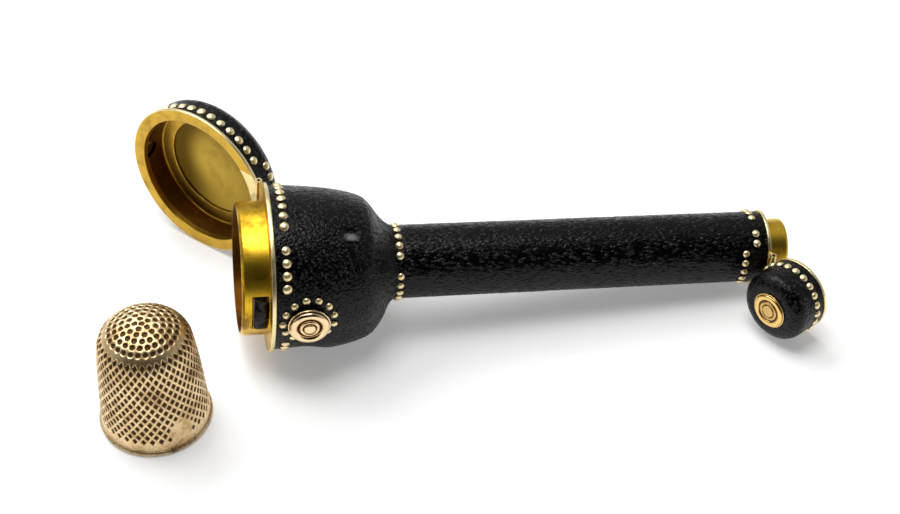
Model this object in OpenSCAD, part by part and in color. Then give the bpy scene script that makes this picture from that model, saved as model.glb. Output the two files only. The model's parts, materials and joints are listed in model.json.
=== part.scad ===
// Sewing etui: a leather-covered bell for a thimble on a needle tube, with a hinged lid,
// a hinged end cap, a push-button catch and the loose thimble. It lies on a table with both
// ends open. Millimetres, +Z up.
//
// The etui is drawn along its own axis first: x runs from the mouth to the tube's end, +y is
// the back, where the lid hangs, and -y the front, where the button sits. lay() then tilts and
// rolls it on to the table, and open_lid() and open_cap() swing the lid and the cap open.

/* [Etui] */
// Length of the body from the mouth flange's face to the end flange's face
body_length = 80; // [70:1:95]
// Angle that the lid is swung open
lid_open = 132.7; // [100:0.1:135]
// Angle that the end cap is swung open
cap_open = 146.4; // [110:0.1:148]
// Gap between the flanges when the lid or the cap is shut
seam = 0.1; // [0.08:0.01:0.15]

/* [Bell] */
// Thickness of the leather covers
leather_t = 0.5; // [0.4:0.05:0.6]
// Thickness of the mouth flange
mouth_flange_t = 0.6; // [0.5:0.05:0.8]
// Width of the mouth flange outside the lid's inner wall
mouth_flange_w = 2.05; // [1.9:0.05:2.4]
// How far the flange stands out past the leather
flange_lip = 0.45; // [0.35:0.05:0.6]
// How much the bell narrows from the mouth to the shoulder
bell_taper = 2.3; // [2.2:0.05:2.7]
// Distance of the shoulder from the mouth
shoulder_s = 15.4; // [15:0.1:15.6]
// Distance of the waist, where bell and tube meet, from the mouth
waist_s = 20.2; // [19.6:0.1:24]
// Height of the neck that the lid closes over
neck_h = 4.3; // [3.8:0.1:4.4]
// Wall of the neck
neck_wall = 0.65; // [0.5:0.05:0.9]
// Width of the catch's slot in the neck
slot_w = 6.7; // [6:0.1:7.5]
// Wall of the brass thimble well
well_wall = 0.3; // [0.2:0.05:0.4]
// Depth of the well, from the mouth
well_depth = 18; // [17.5:0.1:18.4]

/* [Tube] */
// Radius of the bore that holds the needles
needle_bore_r = 3.8; // [3.5:0.05:4.2]
// Distance from the mouth at which the needle bore ends
needle_floor_s = 26; // [25:0.5:32]
// Wall of the brass needle sleeve
sleeve_wall = 0.25; // [0.2:0.05:0.3]
// Wall of the end neck
end_neck_wall = 0.5; // [0.4:0.05:0.6]
// Height of the end neck that the cap closes over
end_neck_h = 3.4; // [3:0.1:3.5]
// Thickness of the end flange
end_flange_t = 0.5; // [0.4:0.05:0.6]
// Width of the end flange outside the cap's inner wall
end_flange_w = 0.9; // [0.85:0.05:1.1]
// How far the end flange stands out past the leather
end_lip = 0.2; // [0.15:0.05:0.3]
// How much thicker the tube is at the waist than at its end
tube_taper = 0.15; // [0:0.05:0.4]

/* [Lid] */
// Height of the lid's straight band, from the seam
lid_band_h = 4; // [3.6:0.1:4.6]
// Height of the dome above the band
lid_dome_h = 4.6; // [4.4:0.1:5.5]
// Width of the ledge round the dish inside the lid
lid_ledge_w = 2.3; // [1.8:0.1:2.8]
// Depth of the dish below the ledge
lid_dish_depth = 1.6; // [1:0.1:1.7]
// Thickness of the lid's brass lining
lining_t = 0.4; // [0.3:0.05:0.45]

/* [Cap] */
// Height of the cap from the seam to its end face
cap_h = 7; // [6.8:0.1:8]
// Radius of the round edge at the cap's end
cap_edge_r = 2; // [1.5:0.1:2.2]
// Thickness of the cap's brass lining
cap_lining_t = 0.15; // [0.12:0.01:0.18]
// Depth inside the cap
cap_depth = 4.7; // [4.5:0.1:4.9]
// Radius of the boss on the cap's end
boss_r = 2.95; // [2.6:0.05:3.1]
// Thickness of the boss
boss_t = 0.45; // [0.4:0.05:0.7]

/* [Studs] */
// Radius of the large studs, on the bell and the lid
stud_r = 0.74; // [0.6:0.02:0.78]
// Radius of the small studs, on the tube and the cap
small_stud_r = 0.64; // [0.5:0.02:0.68]
// How far a stud's dome stands up
stud_h = 0.36; // [0.3:0.02:0.4]
// Distance of the stud rows from the flange faces
stud_row = 2.3; // [2.1:0.05:2.6]
// Distance of the studs that step back beside a hinge
stud_jog_row = 4.1; // [3.9:0.05:4.4]
// Number of studs round the bell's rim
bell_studs = 41; // [36:1:42]
// Number of studs round the lid
lid_studs_n = 40; // [36:2:42]
// Number of studs in each small ring, on the tube and the cap
tube_studs = 22; // [18:2:24]

/* [Button and catch] */
// Radius of the push button
button_r = 3.25; // [2.8:0.05:3.4]
// Thickness of the button
button_t = 1; // [0.8:0.05:1.1]
// Distance of the button from the mouth
button_s = 5.6; // [5.4:0.1:6.2]
// How far the button goes in
button_travel = 0.4; // [0.3:0.05:0.45]
// Number of studs round the button
button_studs = 13; // [10:1:14]
// Thickness of the catch's spring strip
strip_t = 0.3; // [0.25:0.05:0.35]
// Width of the spring strip
strip_w = 3; // [2.5:0.1:3.4]

/* [Hinges] */
// How far the lid hinge's axis lies inside the flange's edge
lid_hinge_inset = 0.85; // [0.75:0.05:0.95]
// Half of the lid hinge's length
lid_hinge_half = 7.2; // [6.5:0.1:7.4]
// Radius of the lid hinge's barrel
lid_barrel_r = 0.55; // [0.5:0.02:0.6]
// How far the cap hinge's axis lies outside the end flange's edge
cap_hinge_outset = 0.07; // [0.05:0.01:0.15]
// Half of the cap hinge's length
cap_hinge_half = 3.4; // [3:0.1:3.6]
// Radius of the cap hinge's barrel
cap_barrel_r = 0.5; // [0.45:0.02:0.52]
// Radius of both hinge pins
pin_r = 0.25; // [0.2:0.01:0.28]

/* [Thimble] */
// Radius of the thimble's rolled rim
thimble_rim_r = 8.65; // [8:0.05:9.2]
// Height of the thimble's side, up to its crown
thimble_side_h = 16; // [14.5:0.1:16.4]
// Height of the crown above the side
thimble_crown_h = 4.7; // [4:0.1:4.8]
// Thickness of the thimble's wall
thimble_wall = 0.5; // [0.4:0.05:0.6]
// Direction of the thimble from the lid's hinge, turned from straight ahead
thimble_bearing = 33.8; // [30:0.1:45]

/* [Hidden] */
$fn = 64;
cut = 0.2;             // how far a cutting solid runs past the face that it cuts
glue = 0.02;           // gap of a glued or soldered seat
run = 0.03;            // radial clearance of a hinge pin
knuckle_gap = 0.06;    // gap between two knuckles
hinge_room = 0.12;     // gap between a barrel and the flange beside it
thimble_gap = 0.25;    // room round the thimble in its well
catch_room = 0.55;     // room for the spring strip between the well and the neck
lid_neck_gap = 0.75;   // room between the neck and the lid's wall, for the swing
cap_neck_gap = 0.65;   // room between the end neck and the cap's wall, for the swing
neck_edge = 0.4;       // bevel on the lips of both necks
spigot_h = 3;          // how deep the mouth collar goes into the bell
ledge_room = 0.2;      // room between the neck's lip and the lid's ledge
wall_draft = 0.3;      // how much the lid's inner wall narrows down to the ledge
leaf_t = 0.25;         // thickness of the hinge leaves
tenon_r = 3.2;         // tenon that joins the bell to the tube
tenon_h = 4;
end_room = 0.3;        // room past the tenon's end
stud_sink = 0.08;      // how deep a stud's edge beds into the leather
shank_r = 0.22;        // nail of a stud
shank_h = 0.5;
rest_gap = 0.03;       // room left under the lid where it comes to rest on the table
sweep_gap = 0.7;       // room between the thimble and the lid's swing
steps = 10;            // steps of a curved outline

// Chain of radii from the thimble outwards to the mouth flange
well_r = thimble_rim_r + thimble_gap;
well_out = well_r + well_wall;
neck_in = well_out + catch_room;
neck_r = neck_in + neck_wall;
lid_wall_r = neck_r + lid_neck_gap;
mouth_flange_r = lid_wall_r + mouth_flange_w;
bell_mouth_r = mouth_flange_r - flange_lip;
shoulder_r = bell_mouth_r - bell_taper;

// Chain of radii from the needles outwards to the end flange
sleeve_r = needle_bore_r + sleeve_wall;
end_neck_r = needle_bore_r + end_neck_wall;
cap_wall_r = end_neck_r + cap_neck_gap;
end_flange_r = cap_wall_r + end_flange_w;
tube_end_r = end_flange_r - end_lip;
waist_r = tube_end_r + tube_taper;
tube_end_s = body_length - end_flange_t;
cap_r = end_flange_r - end_lip / 2;

// The lid's own heights, from the seam
lid_flange_top = seam + mouth_flange_t;
lid_r = bell_mouth_r - seam;
ledge_h = neck_h + ledge_room;
ledge_r = lid_wall_r - wall_draft;
dish_r = ledge_r - lid_ledge_w;
dish_seat = 0.4;       // how far the dish reaches under the ledge

// Hinge axes
lid_hinge = [-seam / 2, mouth_flange_r - lid_hinge_inset];
cap_hinge = [body_length + seam / 2, -(end_flange_r + cap_hinge_outset)];

// How the etui lies: both flanges touch the table, and it rolls until the lid does
tilt = atan((mouth_flange_r - end_flange_r) / (body_length - mouth_flange_t));
mouth_z = mouth_flange_r * cos(tilt) + mouth_flange_t * sin(tilt);
function turn(p, a) = [p.x * cos(a) - p.y * sin(a), p.x * sin(a) + p.y * cos(a)];
lid_axis = turn([-1, 0], -lid_open);
lid_place = lid_hinge + turn([0, -lid_hinge.y], -lid_open);
cap_axis = turn([1, 0], -cap_open);
cap_place = cap_hinge + turn([0, -cap_hinge.y], -cap_open);
roll = asin((mouth_z - lid_place.x * sin(tilt) - mouth_flange_r - rest_gap) / lid_place.y);

// Curves
function bezier(a, b, c, d, n) = [
    for (i = [0 : n]) let (t = i / n, u = 1 - t)
        u * u * u * a + 3 * u * u * t * b + 3 * u * t * t * c + t * t * t * d
];
function ellipse(centre, half_h, half_r, n) = [
    for (i = [0 : n]) let (a = 90 * i / n) [centre + half_h * sin(a), half_r * cos(a)]
];
function arc(centre, r, from, to, n) = [
    for (i = [0 : n]) let (a = from + (to - from) * i / n) centre + r * [cos(a), sin(a)]
];

// Outline of the thimble's side as [height, radius]
thimble_rim_h = 1;
thimble_foot_r = thimble_rim_r - 0.3;
thimble_crown_r = thimble_rim_r - 1.45;
side_bulge = 0.35;     // how far the side swells out between its foot and the crown
thimble_side = bezier([thimble_rim_h, thimble_foot_r],
    [thimble_rim_h + thimble_side_h / 3, thimble_foot_r - side_bulge],
    [thimble_side_h * 2 / 3, thimble_crown_r + side_bulge * 2], [thimble_side_h, thimble_crown_r], steps);
function thimble_side_r(z) = lookup(z, thimble_side);

// The thimble stands clear of the lid's swing
thimble_mid_r = thimble_side_r(mouth_z);
thimble_reach = lid_hinge.y + mouth_flange_r + thimble_mid_r + sweep_gap;
thimble_spot = lid_hinge + thimble_reach * [-sin(thimble_bearing), -cos(thimble_bearing)];

// Middle of the footprint, which becomes the origin
left = thimble_spot.x - thimble_rim_r;
front = thimble_spot.y - thimble_rim_r;
right = (cap_place.x + end_flange_r * abs(cap_axis.y)) * cos(tilt);
dome_reach = sqrt(pow(lid_dome_h * lid_axis.y, 2) + pow(lid_r * lid_axis.x, 2));
back = lid_place.y + lid_band_h * lid_axis.y + dome_reach;
origin = [(left + right) / 2, (front + back) / 2, 0];

// Outline of the bell as [distance, radius], set in by a cover's thickness
wall_pull = 4.5;       // reach of the curve's handle along the bell's wall
shoulder_slope = 31;   // how steeply the outline falls at the shoulder
shoulder_pull = [2.9, 1.7];
waist_pull = [2.2, 0.33];
shoulder_way = [cos(shoulder_slope), -sin(shoulder_slope)];
function bell_line(inset) = let (rim = [mouth_flange_t, bell_mouth_r - inset],
        shoulder = [shoulder_s, shoulder_r - inset], waist = [waist_s, waist_r - inset]) concat(
    bezier(rim, rim + [wall_pull, 0], shoulder - shoulder_pull[0] * shoulder_way, shoulder, steps),
    [for (i = [1 : steps]) bezier(shoulder, shoulder + shoulder_pull[1] * shoulder_way,
        waist + [-waist_pull.x, waist_pull.y], waist, steps)[i]]);
function bell_r(s) = lookup(s, bell_line(0));
function tube_r(s) = lookup(s, [[waist_s, waist_r], [tube_end_s, tube_end_r]]);

// Outline of the well's hollow
well_top = 1;
well_dome = 8;         // height of the well's round floor
well_turn = well_depth - well_dome;
function well_line(wall) = concat([[well_top, well_r + wall]],
    ellipse(well_turn, well_depth - well_turn + wall, well_r + wall, steps));

// Catch: the strip lies between the well and the neck and bends at its rivet
stem_gap = 0.1;        // gap between the stem and the strip
strip_seat = 0.08;     // gap between the well and the strip
strip_in = well_out + strip_seat;
strip_out = strip_in + strip_t;
strip_run = 2.5;       // from the turn of the well's wall to the strip's rivet
catch_pivot_s = well_turn + strip_run;
catch_tail = 0.9;      // length of the strip past its rivet
catch_play = 0.15;     // room round the strip in its pocket
slot_near = 0.2;       // the slot runs from here
slot_far = 2.8;        // to here, measured from the mouth
hook_near = 0.6;
hook_far = 2.5;
hook_side = 0.55;      // room beside the hook in the slot, and its reach past the neck
hook_w = slot_w - 2 * hook_side;
hook_reach = neck_r + hook_side;
strike_depth = 0.45;   // notch in the lid's wall that the hook enters
strike_near = 0.9;
strike_far = 3.1;
stem_r = 1.2;
stem_run = 0.05;       // radial clearance of the button's stem in its bush
bush_r = 1.8;
button_gap = 0.05;     // room left under the button when it is pressed home
button_seat = bell_r(button_s) + button_gap;
button_under = button_seat + button_gap + button_travel;
button_ring_gap = 0.7; // from the button's edge to the middle of the studs round it
button_ring_r = button_r + button_ring_gap;
rivet_r = 0.45;
rivet_head_r = 0.7;
rivet_head_t = 0.25;
rivet_h = 0.7;         // depth of the rivet in the wood

// Stud rows: the stud spacing starts from a stud that the old piece has lost
rim_lost = 27;
waist_lost = 54;
end_lost = 10;
lid_jog_angle = 34;    // studs within this angle of the lid's hinge step back
cap_jog_angle = 42;    // and within this angle of the cap's hinge
waist_row_gap = 0.25;  // how far the waist's studs lie past the joint of the two covers
waist_row = waist_s + waist_row_gap;
button_clear = asin(min(0.9, (button_ring_r + button_ring_gap - 0.2) / bell_mouth_r));
back_t = -90;
front_t = 90;
function off(t, middle) = abs(((t - middle + 540) % 360) - 180);

leather_black = [0.07, 0.07, 0.08];
wood_brown = [0.45, 0.3, 0.18];
brass_yellow = [0.83, 0.64, 0.2];
brass_pale = [0.87, 0.74, 0.42];
steel_grey = [0.5, 0.5, 0.52];
thimble_gold = [0.68, 0.53, 0.3];

// Places
module lay() {
    translate(-origin) translate([0, 0, mouth_z]) rotate([-roll, tilt, 0]) children();
}
module open_lid() {
    lay() translate([lid_hinge.x, lid_hinge.y, 0]) rotate([0, 0, -lid_open])
        translate([-lid_hinge.x, -lid_hinge.y, 0]) children();
}
module open_cap() {
    lay() translate([cap_hinge.x, cap_hinge.y, 0]) rotate([0, 0, -cap_open])
        translate([-cap_hinge.x, -cap_hinge.y, 0]) children();
}

// Shapes that repeat
// A turned solid round the etui's axis, from points [distance along the axis, radius]
module turned(points) {
    rotate([0, 90, 0]) rotate_extrude() polygon([for (p = points) [p.y, p.x]]);
}
// The same for the lid, whose heights run from the seam away from the body
module lid_turned(points) {
    turned([for (p = points) [-p.x, p.y]]);
}
// The same for the cap, whose heights run from the end flange's face
module cap_turned(points) {
    turned([for (p = points) [body_length + p.x, p.y]]);
}
// A round-headed nail with its head's edge at z = 0
module stud(r, h) {
    ball = (r * r + h * h) / (2 * h);
    intersection() {
        translate([0, 0, h - ball]) sphere(r = ball);
        cylinder(r = r, h = h + cut);
    }
    translate([0, 0, -shank_h]) cylinder(r = shank_r, h = shank_h + h / 2);
}
// A stud on the etui's skin, at distance s, radius r and angle t from the top to the front
module stud_at(s, r, t, stud_r) {
    rotate([t, 0, 0]) translate([s, 0, r - stud_sink]) stud(stud_r, stud_h + stud_sink);
}
// A turned disc with two rings and a middle knob, as the button and the cap's boss have
module ringed_disc(r, t) {
    lip_w = 0.2;
    rim_w = 1.2;
    groove_w = 0.3;
    ring_w = 0.4;
    floor_h = t / 2;
    inner = r - lip_w - rim_w;
    ring_out = inner - groove_w;
    ring_in = ring_out - ring_w;
    knob = ring_in - groove_w;
    rotate_extrude() polygon(concat([[0, 0], [r, 0], [r, t / 4], [r - lip_w, t / 4]],
        [for (i = [0 : 8]) let (a = 180 * i / 8) [inner + rim_w / 2 * (1 + cos(a)), floor_h + floor_h * sin(a)]],
        [[ring_out, floor_h], [ring_out, t * 0.85], [ring_out - 0.1, t * 0.95], [ring_in + 0.1, t * 0.95]],
        [[ring_in, t * 0.85], [ring_in, floor_h], [knob, floor_h]],
        [for (i = [0 : 5]) let (a = 90 * i / 5) [knob * cos(a), t * 0.75 + t * 0.3 * sin(a)]]));
}
// The knuckles of one leaf: every second one of five along the barrel, with the pin's bore
module knuckles(half, barrel_r, first) {
    pitch = 2 * half / 5;
    for (i = [first : 2 : 4])
        translate([0, 0, -half + i * pitch + knuckle_gap / 2]) difference() {
            cylinder(r = barrel_r, h = pitch - knuckle_gap);
            translate([0, 0, -cut]) cylinder(r = pin_r + run, h = pitch + 2 * cut);
        }
}
// Webs from the leaf's edge to those knuckles, lying in the leaf's own thickness
module knuckle_webs(half, from_y, to_y, first) {
    pitch = 2 * half / 5;
    for (i = [first : 2 : 4])
        translate([0, min(from_y, to_y), -half + i * pitch + knuckle_gap / 2])
            cube([leaf_t, abs(to_y - from_y), pitch - knuckle_gap]);
}
// A leaf let into a flange: the part of the ring between two radii that faces the hinge
module leaf_plate(inner_r, outer_r, edge_y, half) {
    side = edge_y > 0 ? 1 : -1;
    intersection() {
        rotate([0, 90, 0]) difference() {
            cylinder(r = outer_r, h = leaf_t);
            translate([0, 0, -cut]) cylinder(r = inner_r, h = leaf_t + 2 * cut);
        }
        translate([-cut, side > 0 ? edge_y - half : edge_y, -half])
            cube([leaf_t + 2 * cut, half, 2 * half]);
    }
}
// The room that a barrel takes out of a flange: everything past the chord beside it
module chord_cut(hinge, barrel_r, half, from_x, to_x) {
    room = barrel_r + hinge_room;
    translate([from_x, hinge.y > 0 ? hinge.y - room : hinge.y - 2 * half, -half - hinge_room])
        cube([to_x - from_x, 2 * half + room, 2 * (half + hinge_room)]);
}
// The room that a barrel and the swing beside it take out of leather and wood
module swing_cut(hinge, r, half) {
    translate([hinge.x, hinge.y, -half - hinge_room]) cylinder(r = r, h = 2 * (half + hinge_room));
}

// Edges of the leaves, measured from the etui's axis
lid_leaf_edge = lid_hinge.y - lid_barrel_r - hinge_room;
cap_leaf_edge = cap_hinge.y + cap_barrel_r + hinge_room;
lid_swing_r = 2 * lid_barrel_r + 0.1;
cap_swing_r = cap_barrel_r + hinge_room;

// Body of the etui
module bell_core() {
    color(wood_brown) lay() difference() {
        union() {
            turned(concat([[mouth_flange_t, 0]], bell_line(leather_t), [[waist_s, 0]]));
            rotate([0, 90, 0]) cylinder(r = tenon_r, h = waist_s + tenon_h);
        }
        turned(concat([[-cut, 0], [-cut, neck_r + glue], [spigot_h, neck_r + glue],
            [spigot_h, well_out + glue]], [for (p = well_line(well_wall + glue)) if (p.x > spigot_h) p]));
        catch_pocket();
        translate([button_s, 0, 0]) rotate([90, 0, 0]) cylinder(r = bush_r + glue, h = mouth_flange_r);
        translate([catch_pivot_s, 0, 0]) rotate([90, 0, 0]) cylinder(r = rivet_r, h = strip_out + rivet_h);
        swing_cut(lid_hinge, lid_swing_r, lid_hinge_half);
    }
}
module catch_pocket() {
    pocket_w = strip_w + 2 * catch_play;
    pocket_end = catch_pivot_s + catch_tail + catch_play;
    translate([mouth_flange_t - cut, -strip_out - catch_play, -pocket_w / 2])
        cube([pocket_end - mouth_flange_t + cut, strip_out - well_r + 2 * catch_play, pocket_w]);
}
module tube_core() {
    color(wood_brown) lay() difference() {
        turned([[waist_s, 0], [waist_s, waist_r - leather_t], [tube_end_s, tube_end_r - leather_t],
            [tube_end_s, 0]]);
        translate([needle_floor_s, 0, 0]) rotate([0, 90, 0]) cylinder(r = sleeve_r + glue, h = body_length);
        translate([waist_s - cut, 0, 0]) rotate([0, 90, 0])
            cylinder(r = tenon_r + glue, h = tenon_h + end_room + cut);
        swing_cut(cap_hinge, cap_swing_r, cap_hinge_half);
    }
}
module bell_leather() {
    color(leather_black) lay() difference() {
        turned(concat(bell_line(0), [for (i = [2 * steps : -1 : 0]) bell_line(leather_t - glue)[i]]));
        translate([button_s, 0, 0]) rotate([90, 0, 0]) {
            cylinder(r = bush_r + glue, h = mouth_flange_r);
            translate([0, 0, button_seat]) cylinder(r = button_r + 2 * button_gap, h = mouth_flange_r);
        }
        swing_cut(lid_hinge, lid_swing_r, lid_hinge_half);
    }
}
module tube_leather() {
    inset = leather_t - glue;
    color(leather_black) lay() difference() {
        turned([[waist_s, waist_r - inset], [waist_s, waist_r], [tube_end_s, tube_end_r],
            [tube_end_s, tube_end_r - inset]]);
        swing_cut(cap_hinge, cap_swing_r, cap_hinge_half);
    }
}
module mouth_collar() {
    color(brass_yellow) lay() difference() {
        turned([[spigot_h - glue, neck_in], [-neck_h, neck_in], [-neck_h, neck_r - neck_edge],
            [-neck_h + neck_edge, neck_r], [0, neck_r], [0, mouth_flange_r],
            [mouth_flange_t, mouth_flange_r], [mouth_flange_t, neck_r], [spigot_h - glue, neck_r]]);
        translate([-slot_far, -mouth_flange_r, -slot_w / 2]) cube([slot_far - slot_near, mouth_flange_r, slot_w]);
        chord_cut(lid_hinge, lid_barrel_r, lid_hinge_half, -cut, mouth_flange_t + cut);
        leaf_plate(neck_r, mouth_flange_r + cut, lid_leaf_edge + cut, lid_hinge_half + glue);
    }
}
module thimble_well() {
    inner = well_line(0);
    outer = well_line(well_wall);
    window_w = strip_w + 4 * catch_play;
    window_end = catch_pivot_s + rivet_head_r + catch_play + cut;
    color(brass_yellow) lay() difference() {
        turned(concat(outer, [for (i = [len(inner) - 1 : -1 : 0]) inner[i]]));
        translate([well_top - cut, -mouth_flange_r, -window_w / 2])
            cube([window_end - well_top, mouth_flange_r, window_w]);
    }
}
module needle_sleeve() {
    color(brass_yellow) lay() turned([[needle_floor_s, needle_bore_r], [needle_floor_s, sleeve_r],
        [tube_end_s, sleeve_r], [tube_end_s, needle_bore_r]]);
}
module end_collar() {
    tip = body_length + end_neck_h;
    color(brass_yellow) lay() difference() {
        turned([[tube_end_s, needle_bore_r], [tube_end_s, end_flange_r], [body_length, end_flange_r],
            [body_length, end_neck_r], [tip - neck_edge, end_neck_r], [tip, end_neck_r - neck_edge / 2],
            [tip, needle_bore_r]]);
        chord_cut(cap_hinge, cap_barrel_r, cap_hinge_half, tube_end_s - cut, body_length + cut);
        translate([body_length - leaf_t, 0, 0])
            leaf_plate(end_neck_r, end_flange_r + cut, cap_leaf_edge - cut, cap_hinge_half + glue);
    }
}

// Studs of the body
module bell_rim_studs() {
    color(brass_pale) lay() for (i = [1 : bell_studs - 1]) {
        t = rim_lost + 360 * i / bell_studs;
        s = off(t, back_t) < lid_jog_angle ? stud_jog_row : stud_row;
        if (off(t, front_t) > button_clear) stud_at(s, bell_r(s), t, stud_r);
    }
}
module button_ring_studs() {
    color(brass_pale) lay() for (i = [0 : button_studs - 1]) {
        a = 360 * (i + 0.5) / button_studs;
        s = button_s + button_ring_r * cos(a);
        stud_at(s, bell_r(s), front_t + asin(button_ring_r * sin(a) / bell_r(s)), small_stud_r);
    }
}
module waist_studs() {
    color(brass_pale) lay() for (i = [1 : tube_studs - 1])
        stud_at(waist_row, waist_r, waist_lost + 360 * i / tube_studs, small_stud_r);
}
module tube_end_studs() {
    color(brass_pale) lay() for (i = [1 : tube_studs - 1]) {
        t = end_lost + 360 * i / tube_studs;
        s = body_length - (off(t, front_t) < cap_jog_angle ? stud_jog_row : stud_row);
        stud_at(s, tube_r(s), t, small_stud_r);
    }
}

// Hinges
module lid_hinge_body_leaf() {
    color(brass_yellow) lay() {
        leaf_plate(neck_r + glue, mouth_flange_r - glue, lid_leaf_edge, lid_hinge_half);
        difference() {
            knuckle_webs(lid_hinge_half, lid_leaf_edge - leaf_t / 2, lid_hinge.y, 0);
            translate([lid_hinge.x, lid_hinge.y, 0]) pin_bore(lid_hinge_half);
        }
        translate([lid_hinge.x, lid_hinge.y, 0]) knuckles(lid_hinge_half, lid_barrel_r, 0);
    }
}
module pin_bore(half) {
    translate([0, 0, -half - cut]) cylinder(r = pin_r + run, h = 2 * (half + cut));
}
module hinge_pin(hinge, half) {
    translate([hinge.x, hinge.y, -half]) cylinder(r = pin_r, h = 2 * half);
}
module lid_hinge_pin() {
    color(steel_grey) lay() hinge_pin(lid_hinge, lid_hinge_half);
}
module lid_hinge_lid_leaf() {
    color(brass_yellow) open_lid() {
        translate([-seam - leaf_t, 0, 0])
            leaf_plate(lid_wall_r + glue, mouth_flange_r - glue, lid_leaf_edge, lid_hinge_half);
        difference() {
            translate([-seam - leaf_t, 0, 0])
                knuckle_webs(lid_hinge_half, lid_leaf_edge - leaf_t / 2, lid_hinge.y, 1);
            translate([lid_hinge.x, lid_hinge.y, 0]) pin_bore(lid_hinge_half);
        }
        translate([lid_hinge.x, lid_hinge.y, 0]) knuckles(lid_hinge_half, lid_barrel_r, 1);
    }
}
module cap_hinge_body_leaf() {
    color(brass_yellow) lay() {
        translate([body_length - leaf_t, 0, 0])
            leaf_plate(end_neck_r + glue, end_flange_r - glue, cap_leaf_edge, cap_hinge_half);
        difference() {
            translate([body_length - leaf_t, 0, 0])
                knuckle_webs(cap_hinge_half, cap_leaf_edge + leaf_t / 2, cap_hinge.y, 0);
            translate([cap_hinge.x, cap_hinge.y, 0]) pin_bore(cap_hinge_half);
        }
        translate([cap_hinge.x, cap_hinge.y, 0]) knuckles(cap_hinge_half, cap_barrel_r, 0);
    }
}
module cap_hinge_pin() {
    color(steel_grey) lay() hinge_pin(cap_hinge, cap_hinge_half);
}
module cap_hinge_cap_leaf() {
    color(brass_yellow) open_cap() {
        translate([body_length + seam, 0, 0])
            leaf_plate(cap_wall_r + glue, end_flange_r - glue, cap_leaf_edge, cap_hinge_half);
        difference() {
            translate([body_length + seam, 0, 0])
                knuckle_webs(cap_hinge_half, cap_leaf_edge + leaf_t / 2, cap_hinge.y, 1);
            translate([cap_hinge.x, cap_hinge.y, 0]) pin_bore(cap_hinge_half);
        }
        translate([cap_hinge.x, cap_hinge.y, 0]) knuckles(cap_hinge_half, cap_barrel_r, 1);
    }
}

// Button and catch
module button_bush() {
    bush_in = strip_out + catch_play;
    color(brass_yellow) lay() translate([button_s, 0, 0]) rotate([90, 0, 0])
        translate([0, 0, bush_in]) difference() {
            cylinder(r = bush_r, h = bell_r(button_s + bush_r) - bush_in);
            translate([0, 0, -cut]) cylinder(r = stem_r + stem_run, h = mouth_flange_r);
        }
}
module push_button() {
    stem_in = strip_out + stem_gap;
    color(brass_pale) lay() translate([button_s, 0, 0]) rotate([90, 0, 0]) {
        translate([0, 0, button_under]) ringed_disc(button_r, button_t);
        translate([0, 0, stem_in]) cylinder(r = stem_r, h = button_under - stem_in + button_t / 3);
    }
}
module catch_spring() {
    tail_s = catch_pivot_s + catch_tail;
    color(steel_grey) lay() difference() {
        union() {
            translate([-hook_far, -strip_out, -strip_w / 2]) cube([hook_far + tail_s, strip_t, strip_w]);
            intersection() {
                linear_extrude(height = hook_w, center = true)
                    polygon([[-hook_far, -strip_in], [-hook_far, -neck_r], [-hook_near - 0.4, -hook_reach],
                        [-hook_near, -hook_reach], [-hook_near, -strip_in]]);
                translate([-neck_h, 0, 0]) rotate([0, 90, 0]) cylinder(r = hook_reach, h = neck_h);
            }
        }
        translate([catch_pivot_s, 0, 0]) rotate([90, 0, 0])
            cylinder(r = rivet_r + glue * 3, h = mouth_flange_r);
    }
}
module catch_rivet() {
    head_in = strip_in - glue * 2;
    color(brass_yellow) lay() translate([catch_pivot_s, 0, 0]) rotate([90, 0, 0]) {
        translate([0, 0, head_in - rivet_head_t]) cylinder(r = rivet_head_r, h = rivet_head_t);
        translate([0, 0, head_in - rivet_head_t / 2])
            cylinder(r = rivet_r, h = strip_out + rivet_h - head_in + rivet_head_t / 2);
    }
}

// Lid
module lid_outline(inset) {
    lid_turned(concat([[lid_flange_top, 0], [lid_flange_top, lid_r - inset]],
        ellipse(lid_band_h, lid_dome_h - inset, lid_r - inset, 2 * steps)));
}
// Everything that the lid's wood is cut away for: the lining's wall and the dish behind it
function lid_hollow(grow) = concat(
    [[0, 0], [0, lid_wall_r + lining_t + grow], [lid_flange_top, lid_wall_r + lining_t + grow],
        [ledge_h + lining_t + grow, ledge_r + lining_t + grow],
        [ledge_h + lining_t + grow, dish_r + dish_seat + grow]],
    [for (i = [1 : steps]) let (a = 90 * i / steps)
        [ledge_h + lining_t + (lid_dish_depth + lining_t + grow) * sin(a), (dish_r + dish_seat + grow) * cos(a)]]);
module lid_core() {
    color(wood_brown) open_lid() difference() {
        lid_outline(leather_t);
        lid_turned(lid_hollow(glue));
        swing_cut(lid_hinge, lid_swing_r, lid_hinge_half);
    }
}
module lid_leather() {
    color(leather_black) open_lid() difference() {
        lid_outline(0);
        lid_outline(leather_t - glue);
        rotate([0, -90, 0]) cylinder(r = lid_r - leather_t + glue, h = lid_flange_top + cut);
        swing_cut(lid_hinge, lid_swing_r, lid_hinge_half);
    }
}
module lid_rim() {
    color(brass_yellow) open_lid() difference() {
        lid_turned([[seam, lid_wall_r], [seam, mouth_flange_r], [lid_flange_top, mouth_flange_r],
            [lid_flange_top, lid_wall_r + lining_t], [ledge_h + lining_t, ledge_r + lining_t],
            [ledge_h + lining_t, dish_r], [ledge_h, dish_r], [ledge_h, ledge_r]]);
        chord_cut(lid_hinge, lid_barrel_r, lid_hinge_half, -lid_flange_top - cut, 0);
        translate([-seam - leaf_t, 0, 0])
            leaf_plate(lid_wall_r - cut, mouth_flange_r + cut, lid_leaf_edge + cut, lid_hinge_half + glue);
        translate([-strike_far, -lid_wall_r - strike_depth + lining_t / 2, -slot_w / 2])
            cube([strike_far - strike_near, strike_depth, slot_w]);
    }
}
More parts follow.
